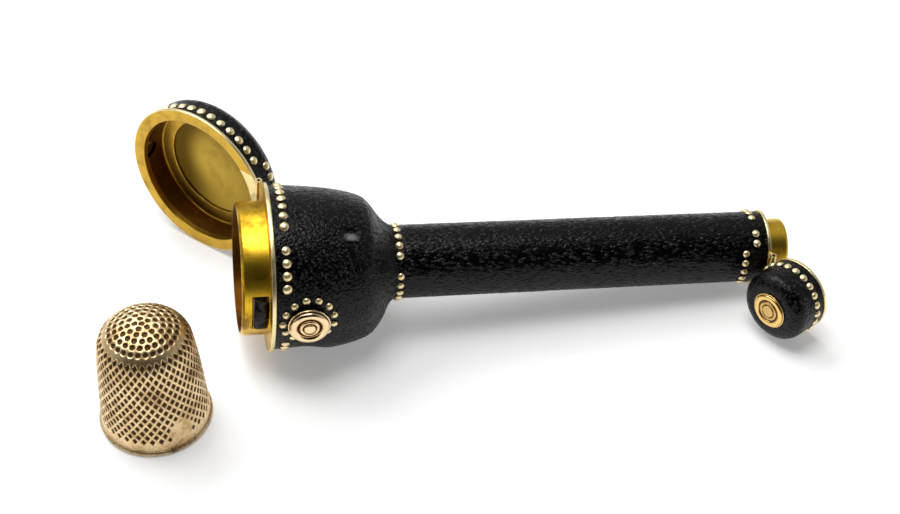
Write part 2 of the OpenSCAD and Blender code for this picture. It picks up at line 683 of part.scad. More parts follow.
module lid_dish() {
    dish_h = ledge_h + lining_t + glue;
    edge_r = dish_r + dish_seat;
    outer = [for (i = [0 : steps]) let (a = 90 * i / steps)
        [dish_h + (lid_dish_depth + lining_t - glue) * sin(a), edge_r * cos(a)]];
    inner = [for (i = [steps : -1 : 0]) let (a = 90 * i / steps)
        [dish_h + lid_dish_depth * sin(a), (edge_r - lining_t) * cos(a)]];
    color(brass_yellow) open_lid() lid_turned(concat(outer, inner));
}
module lid_studs() {
    color(brass_pale) open_lid() for (i = [0 : lid_studs_n - 1]) {
        t = back_t + 360 * (i + 0.5) / lid_studs_n;
        s = off(t, back_t) < lid_jog_angle ? min(stud_jog_row, lid_band_h) : stud_row;
        stud_at(-s, lid_r, t, stud_r);
    }
}

// Cap
function cap_line(inset) = concat([[seam + end_flange_t, cap_r - inset]],
    arc([cap_h - cap_edge_r, cap_r - cap_edge_r], cap_edge_r - inset, 90, 0, steps));
module cap_core() {
    bottom = cap_depth + cap_lining_t + glue;
    color(wood_brown) open_cap() difference() {
        cap_turned(concat([[seam + end_flange_t, 0]], cap_line(leather_t), [[cap_h - leather_t, 0]]));
        cap_turned([[0, 0], [0, cap_wall_r + cap_lining_t + glue], [bottom, cap_wall_r + cap_lining_t + glue],
            [bottom, 0]]);
        swing_cut(cap_hinge, cap_swing_r, cap_hinge_half);
    }
}
module cap_leather() {
    inner = cap_line(leather_t - glue);
    color(leather_black) open_cap() difference() {
        cap_turned(concat(cap_line(0), [[cap_h, 0], [cap_h - leather_t + glue, 0]],
            [for (i = [len(inner) - 1 : -1 : 0]) inner[i]]));
        swing_cut(cap_hinge, cap_swing_r, cap_hinge_half);
    }
}
module cap_rim() {
    top = seam + end_flange_t;
    outer = cap_wall_r + cap_lining_t;
    color(brass_yellow) open_cap() difference() {
        cap_turned([[seam, cap_wall_r], [seam, end_flange_r], [top, end_flange_r], [top, outer],
            [cap_depth + cap_lining_t, outer], [cap_depth + cap_lining_t, 0], [cap_depth, 0],
            [cap_depth, cap_wall_r]]);
        chord_cut(cap_hinge, cap_barrel_r, cap_hinge_half, body_length, body_length + top + cut);
        translate([body_length + seam, 0, 0])
            leaf_plate(cap_wall_r - cut, end_flange_r + cut, cap_leaf_edge - cut, cap_hinge_half + glue);
    }
}
module cap_boss() {
    color(brass_pale) open_cap() translate([body_length + cap_h, 0, 0]) rotate([0, 90, 0]) {
        ringed_disc(boss_r, boss_t);
        translate([0, 0, -shank_h]) cylinder(r = rivet_r, h = shank_h + boss_t / 3);
    }
}
module cap_studs() {
    color(brass_pale) open_cap() for (i = [0 : tube_studs - 1]) {
        t = front_t + 360 * (i + 0.5) / tube_studs;
        stud_at(body_length + stud_row, cap_r, t, small_stud_r);
    }
}

// Thimble
module thimble() {
    foot_in = thimble_foot_r - thimble_wall;
    rim_bead = thimble_rim_h / 2;
    outer = concat([[thimble_foot_r, 0]],
        arc([thimble_rim_r - rim_bead, rim_bead], rim_bead, -90, 90, steps),
        [for (p = thimble_side) [p.y, p.x]],
        [for (p = ellipse(thimble_side_h, thimble_crown_h, thimble_crown_r, steps)) [p.y, p.x]]);
    inner_crown = ellipse(thimble_side_h, thimble_crown_h - thimble_wall, thimble_crown_r - thimble_wall, steps);
    inner = concat([[foot_in, 0]],
        [for (p = thimble_side) [p.y - thimble_wall, p.x]], [for (p = inner_crown) [p.y, p.x]]);
    color(thimble_gold) translate(-origin) translate([thimble_spot.x, thimble_spot.y, 0])
        rotate_extrude() polygon(concat(outer, [for (i = [len(inner) - 1 : -1 : 0]) inner[i]]));
}

bell_core();
tube_core();
bell_leather();
tube_leather();
mouth_collar();
thimble_well();
needle_sleeve();
end_collar();
bell_rim_studs();
button_ring_studs();
waist_studs();
tube_end_studs();
lid_hinge_body_leaf();
lid_hinge_pin();
cap_hinge_body_leaf();
cap_hinge_pin();
button_bush();
catch_rivet();
push_button();
catch_spring();
lid_core();
lid_leather();
lid_rim();
lid_dish();
lid_studs();
lid_hinge_lid_leaf();
cap_core();
cap_leather();
cap_rim();
cap_boss();
cap_studs();
cap_hinge_cap_leaf();
thimble();
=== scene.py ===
# %% [markdown]
# # A leather sewing etui with its thimble
# The etui is a turned wooden bell on a needle tube, both covered in black grained leather, with
# a hinged lid, a hinged end cap and a push-button catch in brass. The solids of the part are
# loaded first and stay where they are. Each piece of this lesson is drawn over its own solid,
# rides on the same body, and moves when the lid, the cap or the button does.

# %% Load the frame
import json
import math

import bmesh
import bpy
import numpy as np
from mathutils import Matrix, Vector, noise


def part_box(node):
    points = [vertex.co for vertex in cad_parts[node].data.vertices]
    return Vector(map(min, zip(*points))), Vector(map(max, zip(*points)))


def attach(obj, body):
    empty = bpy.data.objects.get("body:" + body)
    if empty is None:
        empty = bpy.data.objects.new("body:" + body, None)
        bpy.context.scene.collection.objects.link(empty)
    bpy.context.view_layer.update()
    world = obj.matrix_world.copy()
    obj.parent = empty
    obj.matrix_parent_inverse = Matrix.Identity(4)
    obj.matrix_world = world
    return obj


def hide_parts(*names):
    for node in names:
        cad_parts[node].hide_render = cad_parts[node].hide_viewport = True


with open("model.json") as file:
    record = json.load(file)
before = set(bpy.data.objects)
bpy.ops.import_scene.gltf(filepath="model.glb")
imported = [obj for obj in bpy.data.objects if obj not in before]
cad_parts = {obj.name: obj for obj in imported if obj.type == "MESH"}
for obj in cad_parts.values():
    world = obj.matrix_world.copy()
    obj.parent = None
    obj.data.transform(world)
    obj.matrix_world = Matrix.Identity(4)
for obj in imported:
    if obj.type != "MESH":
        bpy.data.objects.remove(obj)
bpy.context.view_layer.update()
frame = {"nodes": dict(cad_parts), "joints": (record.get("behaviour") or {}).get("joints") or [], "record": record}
nodes = frame["nodes"]
joints = {j["name"]: j for j in frame["joints"]}
mounts = {m["name"]: m for m in frame["record"]["mounts"]}
print("solids:", len(nodes), "joints:", sorted(joints))

# %% [markdown]
# ## Four places to draw in
# A turned thing is easiest to draw along its own axis, in millimetres, with x from the mouth to
# the tube's end, +y at the back and z up. The needle bore gives that axis and the lid's hinge
# gives the upward direction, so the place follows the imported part. The lid and the cap are
# drawn shut and then swung open by the range of their own hinges.

# %% Places of the etui, the lid, the cap and the thimble
MM = 0.001
WELL_MIDDLE = 5.5      # the well's mount lies this far from the mouth

along = Vector(mounts["needle_bore"]["axis"]).normalized()
upward = Vector(joints["lid_hinge"]["axis"]).normalized()
backward = upward.cross(along)


def place_at(point, x, y, z):
    turn = Matrix((x, y, z)).transposed().to_4x4()
    return Matrix.Translation(point) @ turn @ Matrix.Scale(MM, 4)


def swung_open(name):
    joint = joints[name]
    hinge = etui.inverted() @ Vector(joint["pos_m"])
    swing = Matrix.Rotation(-math.radians(joint["range_deg"][1]), 4, "Z")
    return etui @ Matrix.Translation(hinge) @ swing @ Matrix.Translation(-hinge), hinge


mouth = Vector(mounts["thimble_well"]["pos_m"]) - along * WELL_MIDDLE * MM
etui = place_at(mouth, along, backward, upward)
lid, lid_hinge = swung_open("lid_hinge")
cap, cap_hinge = swung_open("cap_hinge")
low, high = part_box("thimble")
thimble_foot = Vector(((low.x + high.x) / 2, (low.y + high.y) / 2, low.z))
thimble = place_at(thimble_foot, Vector((0, 0, 1)), Vector((1, 0, 0)), Vector((0, 1, 0)))
print("lid hinge at", tuple(round(v, 2) for v in lid_hinge), "mm from the mouth's centre")


def node_box(name, place):
    """Lowest and highest corner of a solid in millimetres, along a place's own axes."""
    points = np.array([place.inverted() @ v.co for v in nodes[name].data.vertices])
    return points.min(0), points.max(0)


# %% [markdown]
# ## Writing node trees as sums
# Shader and geometry trees hold the same Math nodes. A small class wraps a socket, so that an
# expression such as 1 - mask adds its node, and one method makes every other node from its
# type, its settings and its sockets.

# %% A socket that can be reckoned with, and a net of nodes
class Sock:
    def __init__(self, net, socket):
        self.net, self.socket = net, socket

    def sum(self, operation, *values):
        return self.net.add("ShaderNodeMath", {"operation": operation}, dict(enumerate(values)))

    def __add__(self, other):
        return self.sum("ADD", self, other)

    def __sub__(self, other):
        return self.sum("SUBTRACT", self, other)

    def __rsub__(self, other):
        return self.sum("SUBTRACT", other, self)

    def __mul__(self, other):
        return self.sum("MULTIPLY", self, other)

    def __truediv__(self, other):
        return self.sum("DIVIDE", self, other)

    def __abs__(self):
        return self.sum("ABSOLUTE", self)

    __radd__, __rmul__ = __add__, __mul__

    def part(self):
        return self.sum("FRACT", self)

    def whole(self):
        return self.sum("FLOOR", self)

    def least(self, other):
        return self.sum("MINIMUM", self, other)

    def most(self, other):
        return self.sum("MAXIMUM", self, other)

    def above(self, other):
        return self.sum("GREATER_THAN", self, other)

    def power(self, other):
        return self.sum("POWER", self, other)

    def ease(self, start, end):
        return self.net.add("ShaderNodeMapRange", {"interpolation_type": "SMOOTHSTEP"},
                            {"Value": self, "From Min": start, "From Max": end})

    def other(self, name):
        return Sock(self.net, self.socket.node.outputs[name])


class Net:
    def __init__(self, tree):
        self.tree = tree

    def add(self, kind, settings=None, sockets=None, out=0):
        node = self.tree.nodes.new(kind)
        for key, value in (settings or {}).items():
            setattr(node, key, value)
        for key, value in (sockets or {}).items():
            if isinstance(value, Sock):
                self.tree.links.new(value.socket, node.inputs[key])
            else:
                node.inputs[key].default_value = value
        return Sock(self, node.outputs[out]) if len(node.outputs) else node

    def mix(self, share, first, second):
        return self.add("ShaderNodeMix", {"data_type": "RGBA"}, {0: share, 6: first, 7: second}, out=2)

    def noise(self, vector, scale, detail=3, rough=0.5):
        return self.add("ShaderNodeTexNoise", None,
                        {"Vector": vector, "Scale": scale, "Detail": detail, "Roughness": rough})

    def scaled(self, vector, factors):
        return self.add("ShaderNodeVectorMath", {"operation": "MULTIPLY"}, {0: vector, 1: factors})


# %% [markdown]
# ## Finishes
# A finish reads Object coordinates, turned and scaled to a piece's own axis in millimetres, so
# the grain runs along the tube and the lathe's lines run round it. What varies goes only to
# colour, roughness and bump, which every other program can be given as a picture.

# %% Start and end of a finish
def fresh_net(owner):
    """An empty net of nodes on a material or a world."""
    owner.use_nodes = True
    owner.node_tree.nodes.clear()
    return Net(owner.node_tree)


def finish_net(name, place):
    """A new material, its net, and Object coordinates in a place's own millimetres."""
    material = bpy.data.materials.new(name)
    net = fresh_net(material)
    spot, turn, _ = place.decompose()
    local = net.add("ShaderNodeMapping", {"vector_type": "TEXTURE"},
                    {"Vector": net.add("ShaderNodeTexCoord", out=3), "Location": spot,
                     "Rotation": turn.to_euler(), "Scale": (MM,) * 3})
    return material, net, local


def close(net, material, colour, rough, height=None, depth=0.05, metallic=0.0, **constants):
    sockets = {"Base Color": colour, "Roughness": rough, "Metallic": metallic}
    if height is not None:
        sockets["Normal"] = net.add("ShaderNodeBump", None,
                                    {"Height": height, "Distance": depth * MM, "Strength": 1.0})
    sockets.update({key.replace("_", " "): value for key, value in constants.items()})
    shader = net.add("ShaderNodeBsdfPrincipled", None, sockets)
    net.add("ShaderNodeOutputMaterial", None, {"Surface": shader})
    return material


def rgb(red, green, blue):
    return (red, green, blue, 1.0)


# %% [markdown]
# ### Leather
# Morocco leather is goat skin whose grain is raised into small pebbles. It was dyed black and
# polished by handling, so the tops of the pebbles shine and the creases stay dull. The larger
# pebbles are pressed into the mesh further down, and the finish adds the fine pores between.

# %% Black grained leather
# The pale rubbed colour is a painted highlight on the fold of the bell's shoulder.
LEATHER_DEEP, LEATHER_TOP = rgb(0.0008, 0.0008, 0.001), rgb(0.0022, 0.0022, 0.0027)
LEATHER_WORN, LEATHER_FOLD_HIGHLIGHT = rgb(0.012, 0.0105, 0.0095), rgb(0.22, 0.22, 0.21)
PEBBLES, CREASES, PORES, CLOUDS = 2.3, 1.5, 7.5, 0.22     # to the millimetre
BEND = 0.7                                                # how far the pebbles stray, in millimetres


def leather_finish(name, place, stretch, highlight_spot=None):
    """Highlight spot is a point, in the place's millimetres, where a painted highlight lies and the skin is
    polished.
    """
    material, net, local = finish_net(name, place)
    drawn = net.scaled(local, (stretch, 1, 1))
    bent = net.add("ShaderNodeVectorMath", {"operation": "MULTIPLY_ADD"},
                   {0: net.noise(drawn, 0.9).other("Color"), 1: (BEND,) * 3, 2: drawn})
    pebbles = net.add("ShaderNodeTexVoronoi", {"feature": "SMOOTH_F1"},
                      {"Vector": bent, "Scale": PEBBLES, "Smoothness": 0.35})
    creases = net.add("ShaderNodeTexVoronoi", {"feature": "DISTANCE_TO_EDGE"},
                      {"Vector": bent, "Scale": CREASES}).ease(0.0, 0.16)
    pores = net.noise(drawn, PORES, 4, 0.6)
    cloud = net.noise(local, CLOUDS, 3)
    worn = cloud.ease(0.6, 0.8) * pores.ease(0.45, 0.7)
    tops = (1 - pebbles.ease(0.1, 0.6)) * creases
    colour = net.mix(tops, LEATHER_DEEP, LEATHER_TOP)
    colour = net.mix(worn * 0.5, colour, LEATHER_WORN)
    rough = 0.27 - tops * 0.07 + (pores - 0.5) * 0.12 + (cloud - 0.5) * 0.2
    height = tops * 0.9 + pores * 0.1
    # A painted highlight: a pale patch above the fold's crease. The lower roughness there is polished skin.
    if highlight_spot:
        middle = Vector((highlight_spot[0] * stretch, *highlight_spot[1:])) + Vector((BEND / 2,) * 3)
        apart = net.add("ShaderNodeVectorMath", {"operation": "DISTANCE"}, {0: bent, 1: middle}, out=1)
        down = Vector((0, -highlight_spot[2], highlight_spot[1])).normalized()
        below = net.add("ShaderNodeVectorMath", {"operation": "DOT_PRODUCT"}, {0: local, 1: down}, out=1)
        patch = (1 - apart.ease(0.2, 1.3)) * (1 - below.ease(0.3, 0.65)) * (pores * 0.8 + 0.4)
        colour = net.mix(patch.least(1.0), colour, LEATHER_FOLD_HIGHLIGHT)
        rough = rough - patch * 0.06
    return close(net, material, colour, rough, height, 0.13, Specular_IOR_Level=0.2)


# %% [markdown]
# ### Brass
# The lid's lining and both collars were spun from sheet brass. Spinning leaves fine lines round
# the axis, and a century of air leaves brown clouds, so the finish mixes a clean metal with a
# tarnished one and lets the roughness follow.

# %% Spun and tarnished brass
PALE = rgb(0.92, 0.78, 0.42)


def brass_finish(name, place, clean, dull, share=0.5, rough=0.26, edge=None, shade=None, dish=None):
    """Edge is the radius from which handling keeps the rim pale; shade is a stretch of the axis and
    of the radius painted in shade, as on an inner wall; dish is the radius from which a dish darkens,
    as tarnish a little all round its rim and as painted shade and reflection most to its front."""
    material, net, local = finish_net(name, place)
    x = net.add("ShaderNodeSeparateXYZ", None, {0: local})
    y, z = x.other("Y"), x.other("Z")
    radius = (y * y + z * z).power(0.5)
    rings = net.add("ShaderNodeCombineXYZ", None, {0: x * 9, 1: radius * 9, 2: 0.0})
    spun = net.noise(rings, 1.0, 2)
    cloud = net.noise(local, 0.33, 5, 0.62)
    specks = net.noise(local, 3.4, 3, 0.6).ease(0.62, 0.74)
    tarnish_and_shade = (cloud.ease(0.42, 0.72) * 0.8 + specks * 0.45).least(1.0) * share
    # Shade paints shade on a stretch of inner wall and takes it into the tarnish.
    if shade:
        start, end, least, most = shade
        dark = x.ease(start, start + 0.3) * (1 - x.ease(end - 0.3, end))
        dark = dark * radius.ease(least - 0.05, least) * (1 - radius.ease(most, most + 0.05))
        tarnish_and_shade = tarnish_and_shade.most(dark * (cloud * 0.4 + 0.75).least(1.0))
    # A dish darkens towards its rim: a little all round as tarnish, and most to its front as painted shade and
    # reflection.
    if dish:
        front = 1 - y.ease(-7, 1)
        tarnish_and_shade = tarnish_and_shade.most(radius.ease(dish - 3, dish + 1) * (front * 0.7 + 0.15))
    colour = net.mix(tarnish_and_shade, clean, dull)
    if edge:
        colour = net.mix(radius.ease(edge - 0.1, edge) * (1 - specks * 0.5), colour, PALE)
    roughness = rough + tarnish_and_shade * 0.22 + (spun - 0.5) * 0.16
    height = spun * 0.5 + net.noise(local, 1.6, 3) * 0.5
    return close(net, material, colour, roughness, height, 0.012, metallic=1.0)


# %% Polished brass, steel and wood
OLD_POLISH = rgb(0.05, 0.022, 0.007)


def turned_finish(name, place, clean, darkening):
    """Polished turned brass with old polish left in its grooves; hollow is 1 on their floors."""
    material, net, local = finish_net(name, place)
    hollow = net.add("ShaderNodeAttribute", {"attribute_name": "hollow"}, out=2)
    cloud = net.noise(local, 0.9, 4, 0.6)
    dark = hollow.ease(0.2, 0.9).most(cloud.ease(0.55, 0.8) * 0.35) * darkening
    colour = net.mix(dark, clean, OLD_POLISH)
    return close(net, material, colour, 0.2 + dark * 0.3 + (cloud - 0.5) * 0.1, cloud, 0.02, metallic=1.0)


def stud_finish(name):
    """Pale domes that turn darker towards their skirts; crown is 1 on a stud's top."""
    material, net, local = finish_net(name, etui)
    crown = net.add("ShaderNodeAttribute", {"attribute_name": "crown"}, out=2)
    # Darker towards the skirt, where each dome meets the leather.
    darkening = (1 - crown.ease(0.0, 0.3)) * 0.8
    patch = net.noise(local, 1.1, 4).ease(0.5, 0.75) * 0.3
    colour = net.mix(darkening.most(patch), rgb(0.96, 0.80, 0.46), rgb(0.2, 0.115, 0.04))
    rough = 0.4 + darkening * 0.2 + patch * 0.15
    return close(net, material, colour, rough, net.noise(local, 2.5, 2), 0.02, metallic=1.0)


def thimble_finish(name):
    """Bright ridges over dark pits; pit is 1 at a pit's floor."""
    material, net, local = finish_net(name, thimble)
    pit = net.add("ShaderNodeAttribute", {"attribute_name": "pit"}, out=2)
    cloud = net.noise(local, 0.28, 4, 0.6)
    specks = net.noise(local, 2.6, 4, 0.65)
    foot = 1 - net.add("ShaderNodeSeparateXYZ", None, {0: local}).ease(0.4, 2.6)
    darkening = cloud.ease(0.48, 0.75) * 0.45 + specks.ease(0.48, 0.75) * 0.45 + foot * specks * 0.7
    dark = (pit.ease(0.1, 0.75) + darkening).least(1.0)
    ridge = net.mix(cloud.ease(0.35, 0.65), rgb(0.88, 0.67, 0.38), rgb(0.72, 0.49, 0.24))
    colour = net.mix(dark, ridge, rgb(0.085, 0.046, 0.018))
    rough = 0.34 + dark * 0.25 + (specks - 0.5) * 0.15
    return close(net, material, colour, rough, specks, 0.03, metallic=1.0)


def steel_finish(name):
    material, net, local = finish_net(name, etui)
    cloud = net.noise(local, 1.2, 4)
    colour = net.mix(cloud.ease(0.4, 0.7), rgb(0.04, 0.037, 0.035), rgb(0.014, 0.01, 0.008))
    return close(net, material, colour, 0.38 + cloud * 0.25, cloud, 0.02, metallic=1.0)


def wood_finish(name):
    material, net, local = finish_net(name, etui)
    grain = net.noise(net.scaled(local, (0.12, 2.2, 2.2)), 1.0, 4, 0.6)
    colour = net.mix(grain, rgb(0.12, 0.06, 0.03), rgb(0.34, 0.19, 0.09))
    return close(net, material, colour, 0.55 + grain * 0.2, grain, 0.03)


# %% All finishes of the etui
# BROWN is tarnish, and also the colour of the painted shade on the inner walls.
GOLD, BROWN = rgb(0.60, 0.37, 0.045), rgb(0.11, 0.036, 0.004)
FOLD_HIGHLIGHT_SPOT = (12.5, -5.1, 10.3)                    # the painted highlight on the fold of the bell's shoulder
LID_PALE, END_PALE = 13.1, 5.78                # radii where the flanges' edges turn pale
finishes = {
    "bell_leather": leather_finish("bell_leather_finish", etui, 0.8, FOLD_HIGHLIGHT_SPOT),
    "tube_leather": leather_finish("tube_leather_finish", etui, 0.4),
    "lid_leather": leather_finish("lid_leather_finish", lid, 0.8),
    "cap_leather": leather_finish("cap_leather_finish", cap, 0.8),
    # The collar's shade is painted shade in the neck's bore.
    "collar": brass_finish("collar_brass", etui, rgb(0.74, 0.46, 0.03), BROWN, 0.85, 0.32, LID_PALE,
                           shade=(-5, 4, 9.6, 9.9)),
    "end_collar": brass_finish("end_collar_brass", etui, rgb(0.78, 0.50, 0.045), BROWN, 0.7, 0.32,
                               END_PALE),
    # The lining's shade is painted shade on the lid's inner wall.
    "lining": brass_finish("lining_brass", lid, GOLD, BROWN, 0.55, 0.3, LID_PALE,
                           shade=(-4.4, -0.9, 10.8, 11.4)),
    # The dish darkens to its front as painted shade and reflection.
    "dish": brass_finish("dish_brass", lid, rgb(0.5, 0.33, 0.05), rgb(0.1, 0.05, 0.004), 0.3, 0.36,
                         dish=6.5),
    "cap_lining": brass_finish("cap_brass", cap, GOLD, BROWN, 0.6, edge=END_PALE),
    "hinge": brass_finish("hinge_brass", etui, rgb(0.88, 0.7, 0.32), BROWN, 0.5, 0.3),
    "button": turned_finish("button_brass", etui, rgb(0.90, 0.68, 0.40), 1.0),
    "boss": turned_finish("boss_brass", cap, rgb(0.88, 0.58, 0.2), 0.9),
    "studs": stud_finish("stud_brass_finish"),
    "thimble": thimble_finish("thimble_brass_finish"),
    "steel": steel_finish("steel_finish"),
    "wood": wood_finish("wood_finish"),
}
print("finishes:", len(finishes))

# %% [markdown]
# ## Turning on the lathe
# A lathe sweeps an outline round the axis. An outline is a closed loop of points, each a
# distance along the axis and a radius, so the swept skin is closed too. Corners of brass are
# eased first, because a real edge is a thin line of light and a perfect corner shows none.

# %% Outlines and the lathe
ON_AXIS = 1e-6      # a radius below this is none


def curve(a, b, c, d, count):
    """Points of a Bezier curve with two handles."""
    t = np.linspace(0, 1, count + 1)[:, None]
    a, b, c, d = (np.array(p, float) for p in (a, b, c, d))
    return (1 - t) ** 3 * a + 3 * (1 - t) ** 2 * t * b + 3 * (1 - t) * t * t * c + t ** 3 * d


def eased(points, size, count=3):
    """A closed outline with its corners rounded; points on the axis and gentle bends stay."""
    points = np.array(points, float)
    result = []
    for before, here, after in zip(np.roll(points, 1, 0), points, np.roll(points, -1, 0)):
        to_before, to_after = before - here, after - here
        reach = min(size, 0.4 * np.linalg.norm(to_before), 0.4 * np.linalg.norm(to_after))
        to_before, to_after = (v / max(np.linalg.norm(v), 1e-9) for v in (to_before, to_after))
        if here[1] < ON_AXIS or to_before @ to_after < -0.9:
            result.append(here)
            continue
        start, end = here + to_before * reach, here + to_after * reach
        for t in np.linspace(0, 1, count + 1):
            result.append((1 - t) ** 2 * start + 2 * t * (1 - t) * here + t * t * end)
    return np.array(result)


def lathe(outline, turns):
    """Points and faces of a closed outline swept round x; angles run from the top to the front."""
    outline = np.array(outline, float)
    count = len(outline)
    t = (np.arange(turns) * 2 * math.pi / turns)[:, None]
    distance, radius = outline[:, 0], np.where(outline[:, 1] < ON_AXIS, 0, outline[:, 1])
    points = np.stack([distance + 0 * t, -radius * np.sin(t), radius * np.cos(t)], -1).reshape(-1, 3)
    step, place = np.meshgrid(np.arange(turns), np.arange(count), indexing="ij")
    after, beside = (step + 1) % turns, (place + 1) % count
    faces = np.stack([step * count + place, step * count + beside, after * count + beside,
                      after * count + place], -1).reshape(-1, 4)
    return points, faces


# %% Making, cutting and seating pieces
SHARP = math.radians(38)


def linked(name, data):
    """A new object in the scene, at the origin."""
    obj = bpy.data.objects.new(name, data)
    bpy.context.scene.collection.objects.link(obj)
    return obj


def piece(name, points, faces, place, finish, values=None):
    """A closed mesh in its place, with merged seams, faces outward and smooth shading."""
    mesh = bpy.data.meshes.new(name)
    rotated = np.array(place.to_3x3()) @ np.asarray(points, float).T
    mesh.from_pydata((rotated.T + np.array(place.translation)).tolist(), [], np.asarray(faces).tolist())
    for key, numbers in (values or {}).items():
        mesh.attributes.new(key, "FLOAT", "POINT").data.foreach_set("value", np.float32(numbers))
    shape = bmesh.new()
    shape.from_mesh(mesh)
    bmesh.ops.remove_doubles(shape, verts=shape.verts, dist=1e-8)
    bmesh.ops.dissolve_degenerate(shape, edges=shape.edges, dist=1e-9)
    bmesh.ops.recalc_face_normals(shape, faces=shape.faces)
    shape.to_mesh(mesh)
    shape.free()
    if finish:
        mesh.materials.append(finishes[finish])
    soften(mesh)
    return linked(name, mesh)


def soften(mesh):
    mesh.shade_smooth()
    mesh.set_sharp_from_angle(angle=SHARP)


def block(low, high, place):
    """A cutting block between two corners."""
    xs, ys, zs = zip(low, high)
    corners = [[x, y, z] for x in xs for y in ys for z in zs]
    sides = [[0, 1, 3, 2], [4, 6, 7, 5], [0, 4, 5, 1], [2, 3, 7, 6], [0, 2, 6, 4], [1, 5, 7, 3]]
    return piece("block", corners, sides, place, None)


def plain_mesh(obj):
    """Turns what the modifiers make into the object's own mesh."""
    bpy.context.view_layer.update()
    graph = bpy.context.evaluated_depsgraph_get()
    made = bpy.data.meshes.new_from_object(obj.evaluated_get(graph), preserve_all_data_layers=True,
                                           depsgraph=graph)
    obj.modifiers.clear()
    obj.data = made
    return obj


def shaped(obj, tools, operation="DIFFERENCE"):
    for tool in tools:
        cut = obj.modifiers.new("cut", "BOOLEAN")
        cut.operation, cut.solver, cut.object = operation, "EXACT", tool
    plain_mesh(obj)
    for tool in tools:
        bpy.data.objects.remove(tool)
    soften(obj.data)
    return obj


def seat(obj, body, slot, *stands_for):
    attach(obj, body)
    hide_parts(*stands_for)
    print(f"{obj.name}: {len(obj.data.polygons)} faces on {body}")
    return obj


# %% [markdown]
# ## Leather covers
# Each cover is a thin turned shell. Its outer rows are close together, so the pebbles of the
# grain can be pressed into the mesh itself: every point moves in by up to a few hundredths of
# a millimetre, never out, and the cover stays inside the room that its solid has.

# %% Sizes of the covers
noise.seed_set(7)       # the same grain at every run
LEATHER_T = 0.48
FLANGE_R, FLANGE_T, BELL_R, LID_R = 13.2, 0.6, 12.75, 12.65
SHOULDER, WAIST = np.array([15.4, 10.45]), np.array([20.2, 5.8])
SHOULDER_SLOPE = math.radians(31)
TUBE_END, END_FLANGE_R, END_FLANGE_T = (79.5, 5.65), 5.85, 0.5
SEAM = 0.1
LID_BAND, LID_DOME = 4.0, 4.6
BODY_LENGTH, CAP_R, CAP_H, CAP_EDGE = 80.0, 5.75, 7.0, 2.0
LID_HINGE_HALF, CAP_HINGE_HALF = 7.32, 3.52
LID_ROOM = (lid_hinge, LID_HINGE_HALF, 1.2)      # a hinge, half its length, and its room's radius
CAP_ROOM = (cap_hinge, CAP_HINGE_HALF, 0.62)


# %% Outline of a cover
def evenly(line, count):
    """The line again, with points evenly along it, and how far along each one lies."""
    lengths = np.r_[0, np.cumsum(np.linalg.norm(np.diff(line, axis=0), axis=1))]
    rows = np.linspace(0, lengths[-1], count)
    return np.stack([np.interp(rows, lengths, line[:, k]) for k in (0, 1)], -1), rows


def outward(line):
    """Directions that stand on an outline, away from the axis."""
    slope = np.gradient(line, axis=0)
    normal = np.stack([-slope[:, 1], slope[:, 0]], -1)
    return normal / np.linalg.norm(normal, axis=1)[:, None]


def shell(outer, count):
    """A cover's closed outline: fine rows outside, coarse rows inside."""
    fine, _ = evenly(np.array(outer, float), count)
    inner = (fine - outward(fine) * LEATHER_T)[::6][::-1]
    inner[:, 1] = np.maximum(inner[:, 1], 0)
    return np.r_[fine, inner]


# %% Grain of a cover, and room for its hinge
def pressed(points, outline, count, stretch, cell, depth):
    """Presses the leather's grain into the outer rows of a turned cover."""
    normal = outward(outline[:count])
    moved = points.copy()
    for index, point in enumerate(points):
        row = index % len(outline)
        radius = math.hypot(point[1], point[2])
        if row >= count or radius < 0.001:
            continue
        here = Vector((point[0] * stretch, point[1], point[2]))
        near, second = noise.voronoi((here + noise.noise_vector(here * 0.9) * 0.3) / cell)[0][:2]
        pebble = min(1.0, (second - near) * 2.6)
        broad = noise.noise(here * 0.3) * 0.5 + 0.5
        dip = depth * ((1 - pebble) * (0.5 + broad) * 0.6 + 0.4 * (1 - broad))
        moved[index, 0] -= dip * normal[row, 0]
        moved[index, 1:] -= dip * normal[row, 1] * point[1:] / radius
    return moved


def cleared(points, hinge, half, room):
    """Moves a cover's edge back from the round room that a hinge swings in."""
    away = 1 if hinge[0] < points[:, 0].mean() else -1
    inside = room ** 2 - (points[:, 1] - hinge[1]) ** 2
    edge = hinge[0] + away * np.sqrt(np.maximum(inside, 0))
    near = (inside > 0) & (np.abs(points[:, 2]) < half)
    points[:, 0] = np.where(near, away * np.maximum(away * points[:, 0], away * edge), points[:, 0])
    return points


def cover(node, outer, count, turns, grain, place, body, room, by_hand=None):
    """Turns a cover, presses its grain, works it further by hand and frees its hinge."""
    outline = shell(outer, count)
    points, faces = lathe(outline, turns)
    points = pressed(points, outline, count, *grain)
    if by_hand:
        points = by_hand(points, outline, count)
    points = cleared(points, *room)
    return seat(piece(node + "_cover", points, faces, place, node), body, "leather", node)


# %% [markdown]
# ### Hand work on the bell
# A flat skin doesn't go round a bell by itself. The saddler wetted it, pulled it down and left
# one fold on the shoulder, and what was too much was gathered underneath, where it lies on the
# table. Under the button the skin was pressed flat. These are moves of the cover's points.

# %% The fold, the spare leather and the button's seat
FOLD_X, FOLD_TURN, FOLD_REACH = 12.3, math.radians(29.5), 1.25
SPARE = 0.9                            # most thickness of the gathered leather
SPARE_ALONG = (5, 10, 17.2, 20)        # where it starts, is full, thins and ends along the axis
SPARE_ROUND = (105, 138, 148, 176)     # and round it, in degrees from the top
button_low, button_high = node_box("push_button", etui)
button_s = (button_low[0] + button_high[0]) / 2
button_reach = (button_high[0] - button_low[0]) / 2


def smooth(values, start, end):
    t = np.clip((values - start) / (end - start), 0, 1)
    return t * t * (3 - 2 * t)


